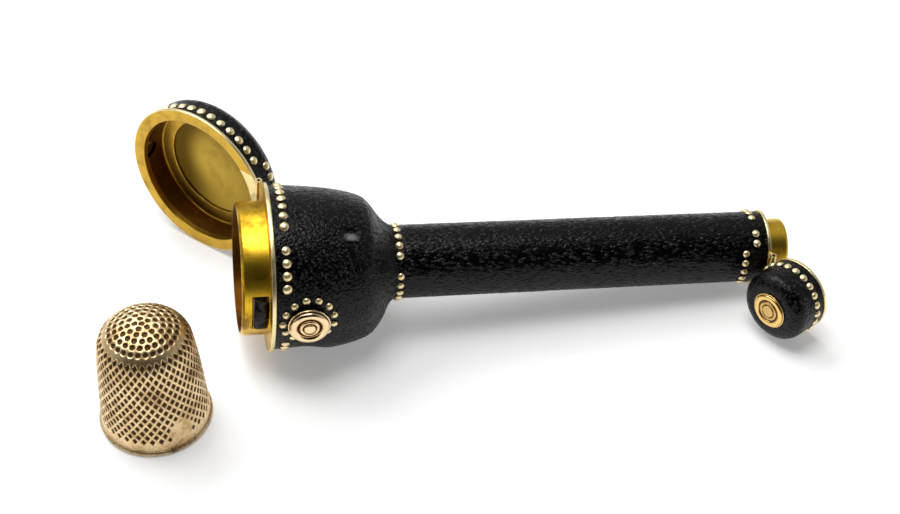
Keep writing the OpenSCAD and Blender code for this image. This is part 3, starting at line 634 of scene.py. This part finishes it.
def bell_by_hand(points, outline, count):
    row = np.arange(len(points)) % len(outline)
    radius = np.hypot(points[:, 1], points[:, 2])
    below = (np.arctan2(-points[:, 1], points[:, 2]) - FOLD_TURN) * radius
    fold = 0.28 * np.exp(-((below + 1.6) / 0.8) ** 2) + 0.22 * np.exp(-((below - 0.15) / 0.2) ** 2)
    fold *= np.exp(-((points[:, 0] - FOLD_X) / FOLD_REACH) ** 4) * (row < count)
    points[:, 1:] *= (1 - fold / np.maximum(radius, 1))[:, None]

    normal = outward(outline[:count])[np.minimum(row, count - 1)]
    x, turn = points[:, 0], np.abs(np.degrees(np.arctan2(-points[:, 1], points[:, 2])))
    spare = smooth(x, *SPARE_ALONG[:2]) * (1 - smooth(x, *SPARE_ALONG[2:])) * (row < count)
    spare *= SPARE * smooth(turn, *SPARE_ROUND[:2]) * (1 - 0.8 * smooth(turn, *SPARE_ROUND[2:]))
    radius = np.maximum(np.hypot(points[:, 1], points[:, 2]), 1)
    points[:, 1:] *= (1 + spare * normal[:, 1] / radius)[:, None]
    points[:, 0] += spare * normal[:, 0]

    under = np.hypot(points[:, 0] - button_s, points[:, 2]) < button_reach + 0.1
    flat = np.maximum(points[:, 1], -np.interp(button_s, bell_outer[:, 0], bell_outer[:, 1]))
    points[:, 1] = np.where(under & (points[:, 1] < 0), flat, points[:, 1])
    return points


# %% The four covers
fall = np.array([math.cos(SHOULDER_SLOPE), -math.sin(SHOULDER_SLOPE)])
bell_outer = np.r_[
    curve((FLANGE_T, BELL_R), (FLANGE_T + 4.5, BELL_R), SHOULDER - 2.9 * fall, SHOULDER, 30),
    curve(SHOULDER, SHOULDER + 1.7 * fall, WAIST + (-2.2, 0.33), WAIST, 30)[1:]]
quarter = np.linspace(0, math.pi / 2, 41)
dome = np.stack([LID_BAND + LID_DOME * np.sin(quarter), LID_R * np.cos(quarter)], -1)
lid_outer = np.r_[[(SEAM + FLANGE_T, LID_R)], dome] * (-1, 1)
turn_edge = np.stack([BODY_LENGTH + CAP_H - CAP_EDGE * (1 - np.sin(quarter)),
                      CAP_R - CAP_EDGE * (1 - np.cos(quarter))], -1)
cap_outer = np.r_[[(BODY_LENGTH + SEAM + END_FLANGE_T, CAP_R)], turn_edge, [(BODY_LENGTH + CAP_H, 0)]]

# Each grain is its stretch along the axis, the size of its pebbles and its depth
cover("bell_leather", bell_outer, 150, 500, (0.85, 0.52, 0.12), etui, "etui", LID_ROOM, bell_by_hand)
cover("tube_leather", [WAIST, TUBE_END], 320, 224, (0.45, 0.46, 0.09), etui, "etui", CAP_ROOM)
cover("lid_leather", lid_outer[::-1], 110, 440, (0.85, 0.62, 0.07), lid, "lid", LID_ROOM)
cover("cap_leather", cap_outer, 72, 224, (0.85, 0.5, 0.06), cap, "cap", CAP_ROOM)

# %% [markdown]
# ## Collars and linings
# The collars and the lid's lining are turned from their outlines with eased corners. What a
# lathe can't make, such as the slot for the catch and the flats beside the hinges, is cut
# afterwards with Boolean modifiers, as a file and a saw would do it.

# %% The mouth's collar
NECK_R, NECK_IN, NECK_H, NECK_EDGE, SPIGOT = 10.4, 9.75, 4.3, 0.4, 2.98
SLOT = (0.2, 2.8, 3.35)         # nearest, furthest and half the width of the catch's slot
LEAF_T, LEAF_EDGE = 0.25, 0.67  # hinge leaf, and its edge from the hinge's axis
LID_LEAF_HALF, CAP_LEAF_HALF = 7.2, 3.4
OVER = 0.2                      # how far a cutting block stands out


def leaf_bed(inner, outer, start, end, edge, half, place):
    """The ring segment that a hinge leaf is let into."""
    ring, sides = lathe([(start, inner), (start, outer), (end, outer), (end, inner)], 256)
    span = (edge - half, edge + OVER) if edge > 0 else (edge - OVER, edge + half)
    box = block((start - 1, span[0], -half - 0.02), (end + 1, span[1], half + 0.02), place)
    return shaped(piece("bed", ring, sides, place, None), [box], "INTERSECT")


collar_line = eased([(SPIGOT, NECK_IN), (-NECK_H, NECK_IN), (-NECK_H, NECK_R - NECK_EDGE),
                     (-NECK_H + NECK_EDGE, NECK_R), (0, NECK_R), (0, FLANGE_R), (FLANGE_T, FLANGE_R),
                     (FLANGE_T, NECK_R), (SPIGOT, NECK_R)], 0.09)
collar = piece("mouth_collar_brass", *lathe(collar_line, 256), etui, "collar")
lid_edge = lid_hinge[1] - LEAF_EDGE
shaped(collar, [
    block((-SLOT[1], -FLANGE_R, -SLOT[2]), (-SLOT[0], 0, SLOT[2]), etui),
    block((-OVER, lid_edge, -LID_HINGE_HALF), (FLANGE_T + OVER, FLANGE_R + 1, LID_HINGE_HALF), etui),
    leaf_bed(NECK_R, FLANGE_R + OVER, -OVER, LEAF_T, lid_edge, LID_LEAF_HALF, etui)])
seat(collar, "etui", "brass", "mouth_collar")

# %% The tube end's collar
BORE_R, END_NECK_R, END_NECK_H = 3.8, 4.3, 3.4
tip = BODY_LENGTH + END_NECK_H
end_line = eased([(TUBE_END[0], BORE_R), (TUBE_END[0], END_FLANGE_R), (BODY_LENGTH, END_FLANGE_R),
                  (BODY_LENGTH, END_NECK_R), (tip - 0.4, END_NECK_R), (tip, END_NECK_R - 0.2),
                  (tip, BORE_R)], 0.12)
end_collar = piece("end_collar_brass", *lathe(end_line, 160), etui, "end_collar")
cap_edge = cap_hinge[1] + 0.62
shaped(end_collar, [
    block((TUBE_END[0] - OVER, -END_FLANGE_R - 1, -CAP_HINGE_HALF),
          (BODY_LENGTH + OVER, cap_edge, CAP_HINGE_HALF), etui),
    leaf_bed(END_NECK_R, END_FLANGE_R + OVER, BODY_LENGTH - LEAF_T, BODY_LENGTH + OVER, cap_edge,
             CAP_LEAF_HALF, etui)])
seat(end_collar, "etui", "brass", "end_collar")

# %% The lid's lining and its dish
LID_WALL, LEDGE_R, LEDGE_H, LINING_T = 11.15, 10.85, 4.5, 0.4
DISH_R, DISH_DEPTH, DISH_SEAT = 8.55, 1.6, 0.4
STRIKE = (0.9, 3.1, 0.45)       # nearest, furthest and depth of the notch for the catch
lid_top = SEAM + FLANGE_T
lining_line = np.array([(SEAM, LID_WALL), (SEAM, FLANGE_R), (lid_top, FLANGE_R),
                        (lid_top, LID_WALL + LINING_T), (LEDGE_H + LINING_T, LEDGE_R + LINING_T),
                        (LEDGE_H + LINING_T, DISH_R), (LEDGE_H, DISH_R), (LEDGE_H, LEDGE_R)]) * (-1, 1)
lining = piece("lid_rim_brass", *lathe(eased(lining_line, 0.16), 256), lid, "lining")
strike_y = -LID_WALL - STRIKE[2] + LINING_T / 2
shaped(lining, [
    block((-lid_top - OVER, lid_edge, -LID_HINGE_HALF), (0, FLANGE_R + 1, LID_HINGE_HALF), lid),
    leaf_bed(LID_WALL - OVER, FLANGE_R + OVER, -SEAM - LEAF_T, -SEAM + OVER, lid_edge, LID_LEAF_HALF,
             lid),
    block((-STRIKE[1], strike_y, -SLOT[2]), (-STRIKE[0], strike_y + STRIKE[2], SLOT[2]), lid)])
seat(lining, "lid", "brass", "lid_rim")

dish_start, dish_edge = LEDGE_H + LINING_T + 0.02, DISH_R + DISH_SEAT
dish_out, dish_in = (np.stack([dish_start + depth * np.sin(quarter) ** 2, edge * np.cos(quarter)], -1)
                     for depth, edge in ((DISH_DEPTH + LINING_T - 0.02, dish_edge),
                                         (DISH_DEPTH, dish_edge - LINING_T)))
dish_line = np.r_[dish_out, dish_in[::-1]] * (-1, 1)
dish = piece("lid_dish_brass", *lathe(dish_line, 256), lid, "dish")
seat(dish, "lid", "brass", "lid_dish")

# %% The cap's lining
CAP_WALL, CAP_DEPTH, CAP_LINING_T = 4.95, 4.7, 0.15
cap_top = SEAM + END_FLANGE_T
cap_line = np.array([(SEAM, CAP_WALL), (SEAM, END_FLANGE_R), (cap_top, END_FLANGE_R),
                     (cap_top, CAP_WALL + CAP_LINING_T),
                     (CAP_DEPTH + CAP_LINING_T, CAP_WALL + CAP_LINING_T), (CAP_DEPTH + CAP_LINING_T, 0),
                     (CAP_DEPTH, 0), (CAP_DEPTH, CAP_WALL)]) + (BODY_LENGTH, 0)
cap_lining = piece("cap_rim_brass", *lathe(eased(cap_line, 0.1), 160), cap, "cap_lining")
shaped(cap_lining, [
    block((BODY_LENGTH, -END_FLANGE_R - 1, -CAP_HINGE_HALF),
          (BODY_LENGTH + cap_top + OVER, cap_edge, CAP_HINGE_HALF), cap),
    leaf_bed(CAP_WALL - OVER, END_FLANGE_R + OVER, BODY_LENGTH + SEAM - OVER, BODY_LENGTH + SEAM + LEAF_T,
             cap_edge, CAP_LEAF_HALF, cap)])
seat(cap_lining, "cap", "brass", "cap_rim")

# %% [markdown]
# ## The button and the cap's boss
# Both are turned discs with a broad polished rim, two grooves, a ring between them and a round
# knob in the middle. One outline serves both, with a soft roll on the rim, because the rolls
# are what catches the light.

# %% A ringed disc
RINGED_R, LIP, GROOVE, RING = 3.25, 0.2, 0.3, 0.53     # widths on a disc of that radius


def ringed_face(radius, thick, rim):
    """Outline of a ringed disc from its back face at 0, as heights and radii."""
    lip, rim, groove, ring = (width * radius / RINGED_R for width in (LIP, rim, GROOVE, RING))
    inner = radius - lip - rim
    ring_out, ring_in = inner - groove, inner - groove - ring
    knob, floor = ring_in - groove / 2, thick / 2
    roll = [(floor + floor * math.sin(a), inner + rim / 2 * (1 + math.cos(a)))
            for a in np.linspace(0, math.pi, 17)]
    bead = [(thick * (0.6 + 0.35 * math.sin(a)), (ring_out + ring_in) / 2 + ring / 2 * math.cos(a))
            for a in np.linspace(0, math.pi, 7)]
    top = [(thick * 0.95, knob), (thick * 1.05, knob - 0.15), (thick * 1.05, 0)]
    return np.array([(0, 0), (0, radius), (thick / 4, radius), (thick / 4, radius - lip), *roll,
                     (floor, ring_out), *bead, (floor, ring_in), (floor, knob), *top])


def hollows(points, back, thick, reach, inside=0.0):
    """How far each point of a ringed disc lies down in a groove, from 0 to 1, but at least
    the given share inside its rim."""
    low = np.clip((0.65 - (points[:, 0] - back) / thick) / 0.1, 0, 1)
    radius = np.hypot(points[:, 1], points[:, 2])
    return {"hollow": np.maximum(low * (radius < reach - 0.15), inside * (radius < reach * 0.65))}


# %% The push button and its stem
button_place = etui @ Matrix.Translation((button_s, 0, 0)) @ Matrix(
    ((0, 1, 0, 0), (-1, 0, 0, 0), (0, 0, 1, 0), (0, 0, 0, 1)))
BUTTON_T, BUTTON_RIM, STEM_R = 1.0, 1.2, 1.2
face_line = ringed_face(button_reach, BUTTON_T, BUTTON_RIM)
face_back = -button_low[1] - face_line[:, 0].max()
stem = [(-button_high[1], 0), (-button_high[1], STEM_R), (face_back, STEM_R)]
points, faces = lathe(eased(np.r_[stem, face_line[1:] + (face_back, 0)], 0.06), 128)
button = piece("push_button_brass", points, faces, button_place, "button",
               hollows(points, face_back, BUTTON_T, button_reach))
seat(button, "button", "turned_brass", "push_button")

# %% The boss on the cap
BOSS_T, BOSS_RIM, BOSS_BROWN = 0.45, 0.95, 0.45
boss_low, boss_high = node_box("cap_boss", cap)
boss_reach = (boss_high[1] - boss_low[1]) / 2
boss_line = ringed_face(boss_reach, BOSS_T, BOSS_RIM)
boss_back = boss_high[0] - boss_line[:, 0].max()
points, faces = lathe(eased(boss_line + (boss_back, 0), 0.05), 128)
boss = piece("cap_boss_brass", points, faces, cap, "boss",
             hollows(points, boss_back, BOSS_T, boss_reach, BOSS_BROWN))
seat(boss, "cap", "turned_brass", "cap_boss")

# %% [markdown]
# ## Studs
# About a hundred and fifty round-headed nails hold the leather. They repeat, so Geometry Nodes
# set them: a cloud of points carries each nail's seat and direction, read from the solids, and
# the tree puts a dome on every point, turns it outward and makes no two quite alike.

# %% The tree that sets studs
CAP_RISE = 0.36 / 0.74                        # a dome's height over its radius
CAP_BALL = (1 + CAP_RISE ** 2) / (2 * CAP_RISE)   # radius of the ball that the dome is cut from


def new_tree(name, start, inputs, end):
    """An empty geometry tree with named inputs, and its net."""
    tree = bpy.data.node_groups.new(name, "GeometryNodeTree")
    for label, kind in ((start, "Geometry"), *inputs.items(), ("Finish", "Material")):
        tree.interface.new_socket(label, in_out="INPUT", socket_type="NodeSocket" + kind)
    tree.interface.new_socket(end, in_out="OUTPUT", socket_type="NodeSocketGeometry")
    return tree, Net(tree)


def stud_tree():
    sizes = {"Radius": "Float", "Height": "Float", "Unlike": "Float", "Seed": "Int"}
    tree, net = new_tree("stud_setting", "Seats", sizes, "Studs")
    given = net.add("NodeGroupInput")
    radius, height, unlike, seed = (given.other(n) for n in ("Radius", "Height", "Unlike", "Seed"))
    ball = net.add("GeometryNodeMeshUVSphere", None, {"Segments": 20, "Rings": 13, "Radius": 1.0})
    spot = net.add("GeometryNodeInputPosition")
    x = net.add("ShaderNodeSeparateXYZ", None, {0: spot})
    y, z = x.other("Y"), x.other("Z")
    slant = z.most(0.0).sum("ARCCOSINE", z.most(0.0)) * (math.asin(1 / CAP_BALL) / (math.pi / 2))
    wide = slant.sum("SINE", slant) * CAP_BALL / (x * x + y * y).power(0.5).most(0.001)
    wide = wide * z.above(-0.01) + (1 - z.above(-0.01))
    tall = (slant.sum("COSINE", slant) * CAP_BALL - (CAP_BALL - CAP_RISE)) / CAP_RISE
    flat = net.add("ShaderNodeCombineXYZ", None, {0: x * wide, 1: y * wide, 2: tall + z.least(0.0) * 0.3})
    dome = net.add("GeometryNodeStoreNamedAttribute", {"data_type": "FLOAT", "domain": "POINT"},
                   {"Geometry": ball, "Name": "crown", "Value": tall.most(0.0)})
    dome = net.add("GeometryNodeSetPosition", None, {"Geometry": dome, "Position": flat})
    aim = net.add("GeometryNodeInputNamedAttribute", {"data_type": "FLOAT_VECTOR"}, {"Name": "outward"})
    jolt = net.add("FunctionNodeRandomValue", {"data_type": "FLOAT_VECTOR"},
                   {0: (-1.0,) * 3, 1: (1.0,) * 3, "Seed": seed})
    jolt = net.add("ShaderNodeVectorMath", {"operation": "SCALE"}, {0: jolt, "Scale": unlike})
    aim = net.add("ShaderNodeVectorMath", {"operation": "ADD"}, {0: aim, 1: jolt})
    turn = net.add("FunctionNodeAlignRotationToVector", {"axis": "Z"}, {"Vector": aim})
    more = net.add("FunctionNodeRandomValue", {"data_type": "FLOAT"},
                   {2: 1 - unlike * 0.6, 3: 1 + unlike * 0.6, "Seed": seed + 7}, out=1)
    size = net.add("ShaderNodeCombineXYZ", None, {0: radius * more, 1: radius * more, 2: height * more})
    made = net.add("GeometryNodeInstanceOnPoints", None,
                   {"Points": given, "Instance": dome, "Rotation": turn, "Scale": size})
    made = net.add("GeometryNodeRealizeInstances", None, {"Geometry": made})
    made = net.add("GeometryNodeSetShadeSmooth", None, {"Geometry": made})
    made = net.add("GeometryNodeSetMaterial", None, {"Geometry": made, "Material": given.other("Finish")})
    net.add("NodeGroupOutput", None, {0: made})
    return tree


def set_inputs(modifier, **values):
    """Sets a tree's named inputs through their sockets' identifiers."""
    for item in modifier.node_group.interface.items_tree:
        if item.in_out == "INPUT" and item.name in values:
            modifier[item.identifier] = values[item.name]


# %% Reading the seats and setting the studs
STUD_H, UNLIKE = 0.36, 0.09
studs_tree = stud_tree()


def stud_seats(name, place):
    """Seat and outward direction of each stud of a solid, and their radius, in metres."""
    shape = bmesh.new()
    shape.from_mesh(nodes[name].data)
    bmesh.ops.remove_doubles(shape, verts=shape.verts, dist=1e-7)
    shape.verts.index_update()
    axis = (place.to_3x3() @ Vector((1, 0, 0))).normalized()
    seats, directions, radii, left = [], [], [], set(shape.verts)
    while left:
        group, edge = set(), [left.pop()]
        while edge:
            vert = edge.pop()
            group.add(vert)
            near = {e.other_vert(vert) for e in vert.link_edges} & left
            left -= near
            edge.extend(near)
        group = sorted(group, key=lambda v: v.index)
        middle = sum((v.co for v in group), Vector()) / len(group)
        out = middle - place.translation
        out = (out - axis * out.dot(axis)).normalized()
        top = max((v.co - middle).dot(out) for v in group)
        seats.append(middle + out * (top - STUD_H * MM))
        directions.append(out)
        radii.append(max((v.co - middle).dot(axis) for v in group))
    shape.free()
    order = sorted(range(len(seats)), key=lambda i: tuple(round(c, 6) for c in seats[i]))
    return [seats[i] for i in order], [directions[i] for i in order], float(np.median(radii))


def set_studs(name, place, body, seed):
    seats, directions, radius = stud_seats(name, place)
    mesh = bpy.data.meshes.new(name + "_domes")
    mesh.from_pydata(seats, [], [])
    outward = mesh.attributes.new("outward", "FLOAT_VECTOR", "POINT")
    outward.data.foreach_set("vector", np.float32(directions).ravel())
    obj = linked(mesh.name, mesh)
    setting = obj.modifiers.new("setting", "NODES")
    setting.node_group = studs_tree
    set_inputs(setting, Radius=radius, Height=STUD_H * MM, Unlike=UNLIKE, Seed=seed,
               Finish=finishes["studs"])
    plain_mesh(obj)
    print(name, len(seats), "studs of radius", round(radius / MM, 2), "mm")
    return seat(obj, body, "stud_brass", name)


for seed, (name, place, body) in enumerate((
        ("bell_rim_studs", etui, "etui"), ("button_ring_studs", etui, "etui"),
        ("waist_studs", etui, "etui"), ("tube_end_studs", etui, "etui"),
        ("lid_studs", lid, "lid"), ("cap_studs", cap, "cap")), 11):
    set_studs(name, place, body, seed)

# %% [markdown]
# ## The thimble
# A thimble is drawn from sheet metal and knurled: a diamond net of ridges goes round its side
# and rings of round pits cover its crown. The pits follow a rule, so the tree below presses
# them into a smooth turned shell and notes how deep each point went, for the finish to darken.

# %% Smooth shell of the thimble
RIM_R, RIM_H, SIDE_H, CROWN_H, WALL = 8.65, 1.0, 16.0, 4.7, 0.5
FOOT_R, CROWN_R, BULGE = RIM_R - 0.3, RIM_R - 1.45, 0.35
THIMBLE_TURNS = 384
side = curve((RIM_H, FOOT_R), (RIM_H + SIDE_H / 3, FOOT_R - BULGE), (SIDE_H * 2 / 3, CROWN_R + BULGE * 2),
             (SIDE_H, CROWN_R), 40)
crown = np.stack([SIDE_H + CROWN_H * np.sin(quarter), CROWN_R * np.cos(quarter)], -1)
outer, rows = evenly(np.r_[side, crown[1:]], 186)
half_turn, bead_r = np.linspace(-math.pi / 2, math.pi / 2, 9), RIM_H / 2
bead = np.stack([bead_r + bead_r * np.sin(half_turn), RIM_R - bead_r + bead_r * np.cos(half_turn)], -1)
inner_crown = np.stack([SIDE_H + (CROWN_H - WALL) * np.sin(quarter), (CROWN_R - WALL) * np.cos(quarter)],
                       -1)
inner = np.r_[[(0, FOOT_R - WALL)], side[::4] - (0, WALL), inner_crown[4::4]]
outline = np.r_[bead, outer[1:], inner[::-1]]
points, faces = lathe(outline, THIMBLE_TURNS)
first, last = len(bead), len(bead) + len(outer) - 1
skin = np.zeros(len(outline))
skin[first:last] = 1
from_top = np.zeros(len(outline))
from_top[first:last] = rows[-1] - rows[1:]
values = {"skin": np.tile(skin, THIMBLE_TURNS), "from_top": np.tile(from_top, THIMBLE_TURNS),
          "height": np.tile(outline[:, 0], THIMBLE_TURNS), "girth": np.tile(outline[:, 1], THIMBLE_TURNS),
          "turn": np.repeat(np.arange(THIMBLE_TURNS) / THIMBLE_TURNS, len(outline))}
thimble_shell = piece("thimble_brass", points, faces, thimble, None, values)
print("arc from the crown to the foot:", round(float(rows[-1]), 2), "mm")

# %% The tree that presses pits
SIDE_PITS, SIDE_ROWS, SIDE_START, ROW_H = 38, 17, 7.3, 0.95
CROWN_PITCH, CROWN_PITS, CROWN_EDGE, PIT_DEPTH = 1.08, 0.93, 5.94, 0.2


def pit_tree():
    labels = ("Side pits", "Row height", "Rows", "Row start", "Crown pitch", "Crown edge", "Depth")
    tree, net = new_tree("thimble_pits", "Shell", dict.fromkeys(labels, "Float"), "Pitted")
    given = net.add("NodeGroupInput")

    def noted(name):
        return net.add("GeometryNodeInputNamedAttribute", {"data_type": "FLOAT"}, {"Name": name})

    turn, height, girth, top = (noted(n) for n in ("turn", "height", "girth", "from_top"))
    row = (top - given.other("Row start")) / given.other("Row height")
    first = turn * given.other("Side pits") + row * 0.5
    second = turn * given.other("Side pits") - row * 0.5
    line = first.whole() - second.whole()
    on_side = (line + 0.5).above(0.0) * (given.other("Rows") - line).above(0.0)
    ridge = abs(first.part() - 0.5).most(abs(second.part() - 0.5))
    side_pit = (1 - ridge.ease(0.2, 0.43)) * on_side
    steps = top / given.other("Crown pitch") + 0.5
    ring = steps.whole()
    count = (ring * (2 * math.pi * CROWN_PITS)).whole().most(1.0)
    around = ((turn * count + ring * 0.37).part() - 0.5) * girth * (2 * math.pi) / count * ring.above(0.5)
    across = (steps.part() - 0.5) * given.other("Crown pitch")
    spread = (around * around + across * across).power(0.5)
    crown_pit = (1 - spread.ease(0.28, 0.5)) * (given.other("Crown edge") - top).above(0.0)
    worn = net.add("ShaderNodeCombineXYZ", None, {0: (turn - 0.58) * 26, 1: (height - 4.0) * 0.42, 2: 0.0})
    patch = net.add("ShaderNodeVectorMath", {"operation": "LENGTH"}, {0: worn}, out=1).ease(0.55, 1.5)
    pit = side_pit.most(crown_pit) * (patch * 0.85 + 0.15) * noted("skin")
    normal = net.add("GeometryNodeInputNormal")
    push = net.add("ShaderNodeVectorMath", {"operation": "SCALE"},
                   {0: normal, "Scale": pit * given.other("Depth") * -MM})
    made = net.add("GeometryNodeStoreNamedAttribute", {"data_type": "FLOAT", "domain": "POINT"},
                   {"Geometry": given, "Name": "pit", "Value": pit})
    made = net.add("GeometryNodeSetPosition", None, {"Geometry": made, "Offset": push})
    made = net.add("GeometryNodeRealizeInstances", None, {"Geometry": made})
    made = net.add("GeometryNodeSetMaterial", None, {"Geometry": made, "Material": given.other("Finish")})
    net.add("NodeGroupOutput", None, {0: made})
    return tree


pressing = thimble_shell.modifiers.new("pits", "NODES")
pressing.node_group = pit_tree()
set_inputs(pressing, **{"Side pits": float(SIDE_PITS), "Row height": ROW_H, "Rows": float(SIDE_ROWS),
                        "Row start": SIDE_START, "Crown pitch": CROWN_PITCH, "Crown edge": CROWN_EDGE,
                        "Depth": PIT_DEPTH, "Finish": finishes["thimble"]})
plain_mesh(thimble_shell)
thimble_shell.data.shade_smooth()
seat(thimble_shell, "thimble", "thimble_brass", "thimble")

# %% [markdown]
# ## Hinges, catch and hidden pieces
# The hinge leaves, the pins, the catch and the linings inside are simple enough that the solids
# already have their shape. A copy of each is merged, so that round faces shade smoothly, and
# the wooden cores, which the leather hides, keep their solids and get a wood finish.

# %% Smooth copies of the small solids
def smooth_copy(name, body, slot, finish):
    mesh = nodes[name].data.copy()
    mesh.materials.clear()
    mesh.materials.append(finishes[finish])
    shape = bmesh.new()
    shape.from_mesh(mesh)
    bmesh.ops.remove_doubles(shape, verts=shape.verts, dist=1e-7)
    shape.to_mesh(mesh)
    shape.free()
    for polygon in mesh.polygons:
        polygon.material_index = 0
    soften(mesh)
    return seat(linked(name + "_piece", mesh), body, slot, name)


for name, body, slot, finish in (
        ("lid_hinge_body_leaf", "etui", "brass", "hinge"), ("lid_hinge_lid_leaf", "lid", "brass", "hinge"),
        ("cap_hinge_body_leaf", "etui", "brass", "hinge"), ("cap_hinge_cap_leaf", "cap", "brass", "hinge"),
        ("thimble_well", "etui", "brass", "collar"), ("needle_sleeve", "etui", "brass", "collar"),
        ("button_bush", "etui", "brass", "collar"), ("catch_rivet", "etui", "brass", "collar"),
        ("lid_hinge_pin", "etui", "steel", "steel"), ("cap_hinge_pin", "etui", "steel", "steel"),
        ("catch_spring", "catch", "steel", "steel")):
    smooth_copy(name, body, slot, finish)

for name in ("bell_core", "tube_core", "lid_core", "cap_core"):
    nodes[name].data.materials.clear()
    nodes[name].data.materials.append(finishes["wood"])

# %% [markdown]
# ## Floor, light and camera
# The etui lies on a wide white floor. The floor is lit like everything else and keeps the
# shadows, and rays from the camera and from shiny metal see a little extra glow on it, which
# carries the lit floor to white. The room is pale all round and dark only where the camera
# stands, as in a photographer's tent, so brass stays bright and leather that faces the camera
# stays black.

# %% White floor
FLOOR, FLOOR_WHITE, GLOW = 0.9, rgb(0.82, 0.82, 0.82), 0.29
floor_mesh = bpy.data.meshes.new("white_floor")
corners = [(-FLOOR, -FLOOR, 0), (FLOOR, -FLOOR, 0), (FLOOR, FLOOR, 0), (-FLOOR, FLOOR, 0)]
floor_mesh.from_pydata(corners, [], [(0, 1, 2, 3)])
floor_finish = bpy.data.materials.new("floor_finish")
net = fresh_net(floor_finish)
ray = net.add("ShaderNodeLightPath")
seen = ray.most(ray.other("Is Glossy Ray")).most(ray.other("Is Transmission Ray"))
glow = net.add("ShaderNodeEmission", None, {"Color": rgb(1, 1, 1), "Strength": seen * GLOW})
lit = net.add("ShaderNodeBsdfDiffuse", None, {"Color": FLOOR_WHITE})
both = net.add("ShaderNodeAddShader", None, {0: lit, 1: glow})
net.add("ShaderNodeOutputMaterial", None, {"Surface": both})
floor_mesh.materials.append(floor_finish)
linked("white_floor", floor_mesh)

# %% Camera at the photograph's angle
CAMERA_SPOT = Vector((mouth.x, mouth.y, 0)) + Vector((-3.51, -215.91, 238.39)) * MM
AZIMUTH, ELEVATION = math.radians(-8.57), math.radians(46.16)
FOCAL_PIXELS, IMAGE_WIDTH, SENSOR = 2005.2, 900, 36.0
look = Vector((-math.sin(AZIMUTH) * math.cos(ELEVATION), math.cos(AZIMUTH) * math.cos(ELEVATION),
               -math.sin(ELEVATION)))
camera_data = bpy.data.cameras.new("camera")
camera_data.sensor_width = SENSOR
camera_data.lens = FOCAL_PIXELS / IMAGE_WIDTH * SENSOR
camera_data.clip_start, camera_data.clip_end = 0.01, 10
camera = linked("camera", camera_data)
camera.location = CAMERA_SPOT
camera.rotation_mode = "QUATERNION"
camera.rotation_quaternion = look.to_track_quat("-Z", "Y")
bpy.context.scene.camera = camera
bpy.context.scene.view_settings.view_transform = "Standard"

# %% Pale room and soft lamps
ROOM, CAMERA_SIDE = 0.42, 0.0
world = bpy.data.worlds.new("studio")
net = fresh_net(world)
ray = net.add("ShaderNodeLightPath")
way = net.add("ShaderNodeTexCoord")
facing = net.add("ShaderNodeVectorMath", {"operation": "DOT_PRODUCT"}, {0: way, 1: tuple(-look)}, out=1)
shade = facing.ease(0.3, 0.85)
room = ROOM + shade * (CAMERA_SIDE - ROOM)
sky = net.add("ShaderNodeBackground", None, {"Color": rgb(1, 1, 1), "Strength": ray + (1 - ray) * room})
net.add("ShaderNodeOutputWorld", None, {"Surface": sky})
bpy.context.scene.world = world


def lamp(name, spot, size, power):
    data = bpy.data.lights.new(name, "AREA")
    data.shape, data.size, data.size_y, data.energy = "RECTANGLE", *size, power
    obj = linked(name, data)
    obj.location = spot
    obj.rotation_euler = (-Vector(spot)).to_track_quat("-Z", "Y").to_euler()


lamp("window", (-0.3, 0.4, 0.6), (0.7, 0.4), 4.0)
lamp("ceiling", (-0.05, 0.05, 0.8), (0.4, 0.4), 3.4)
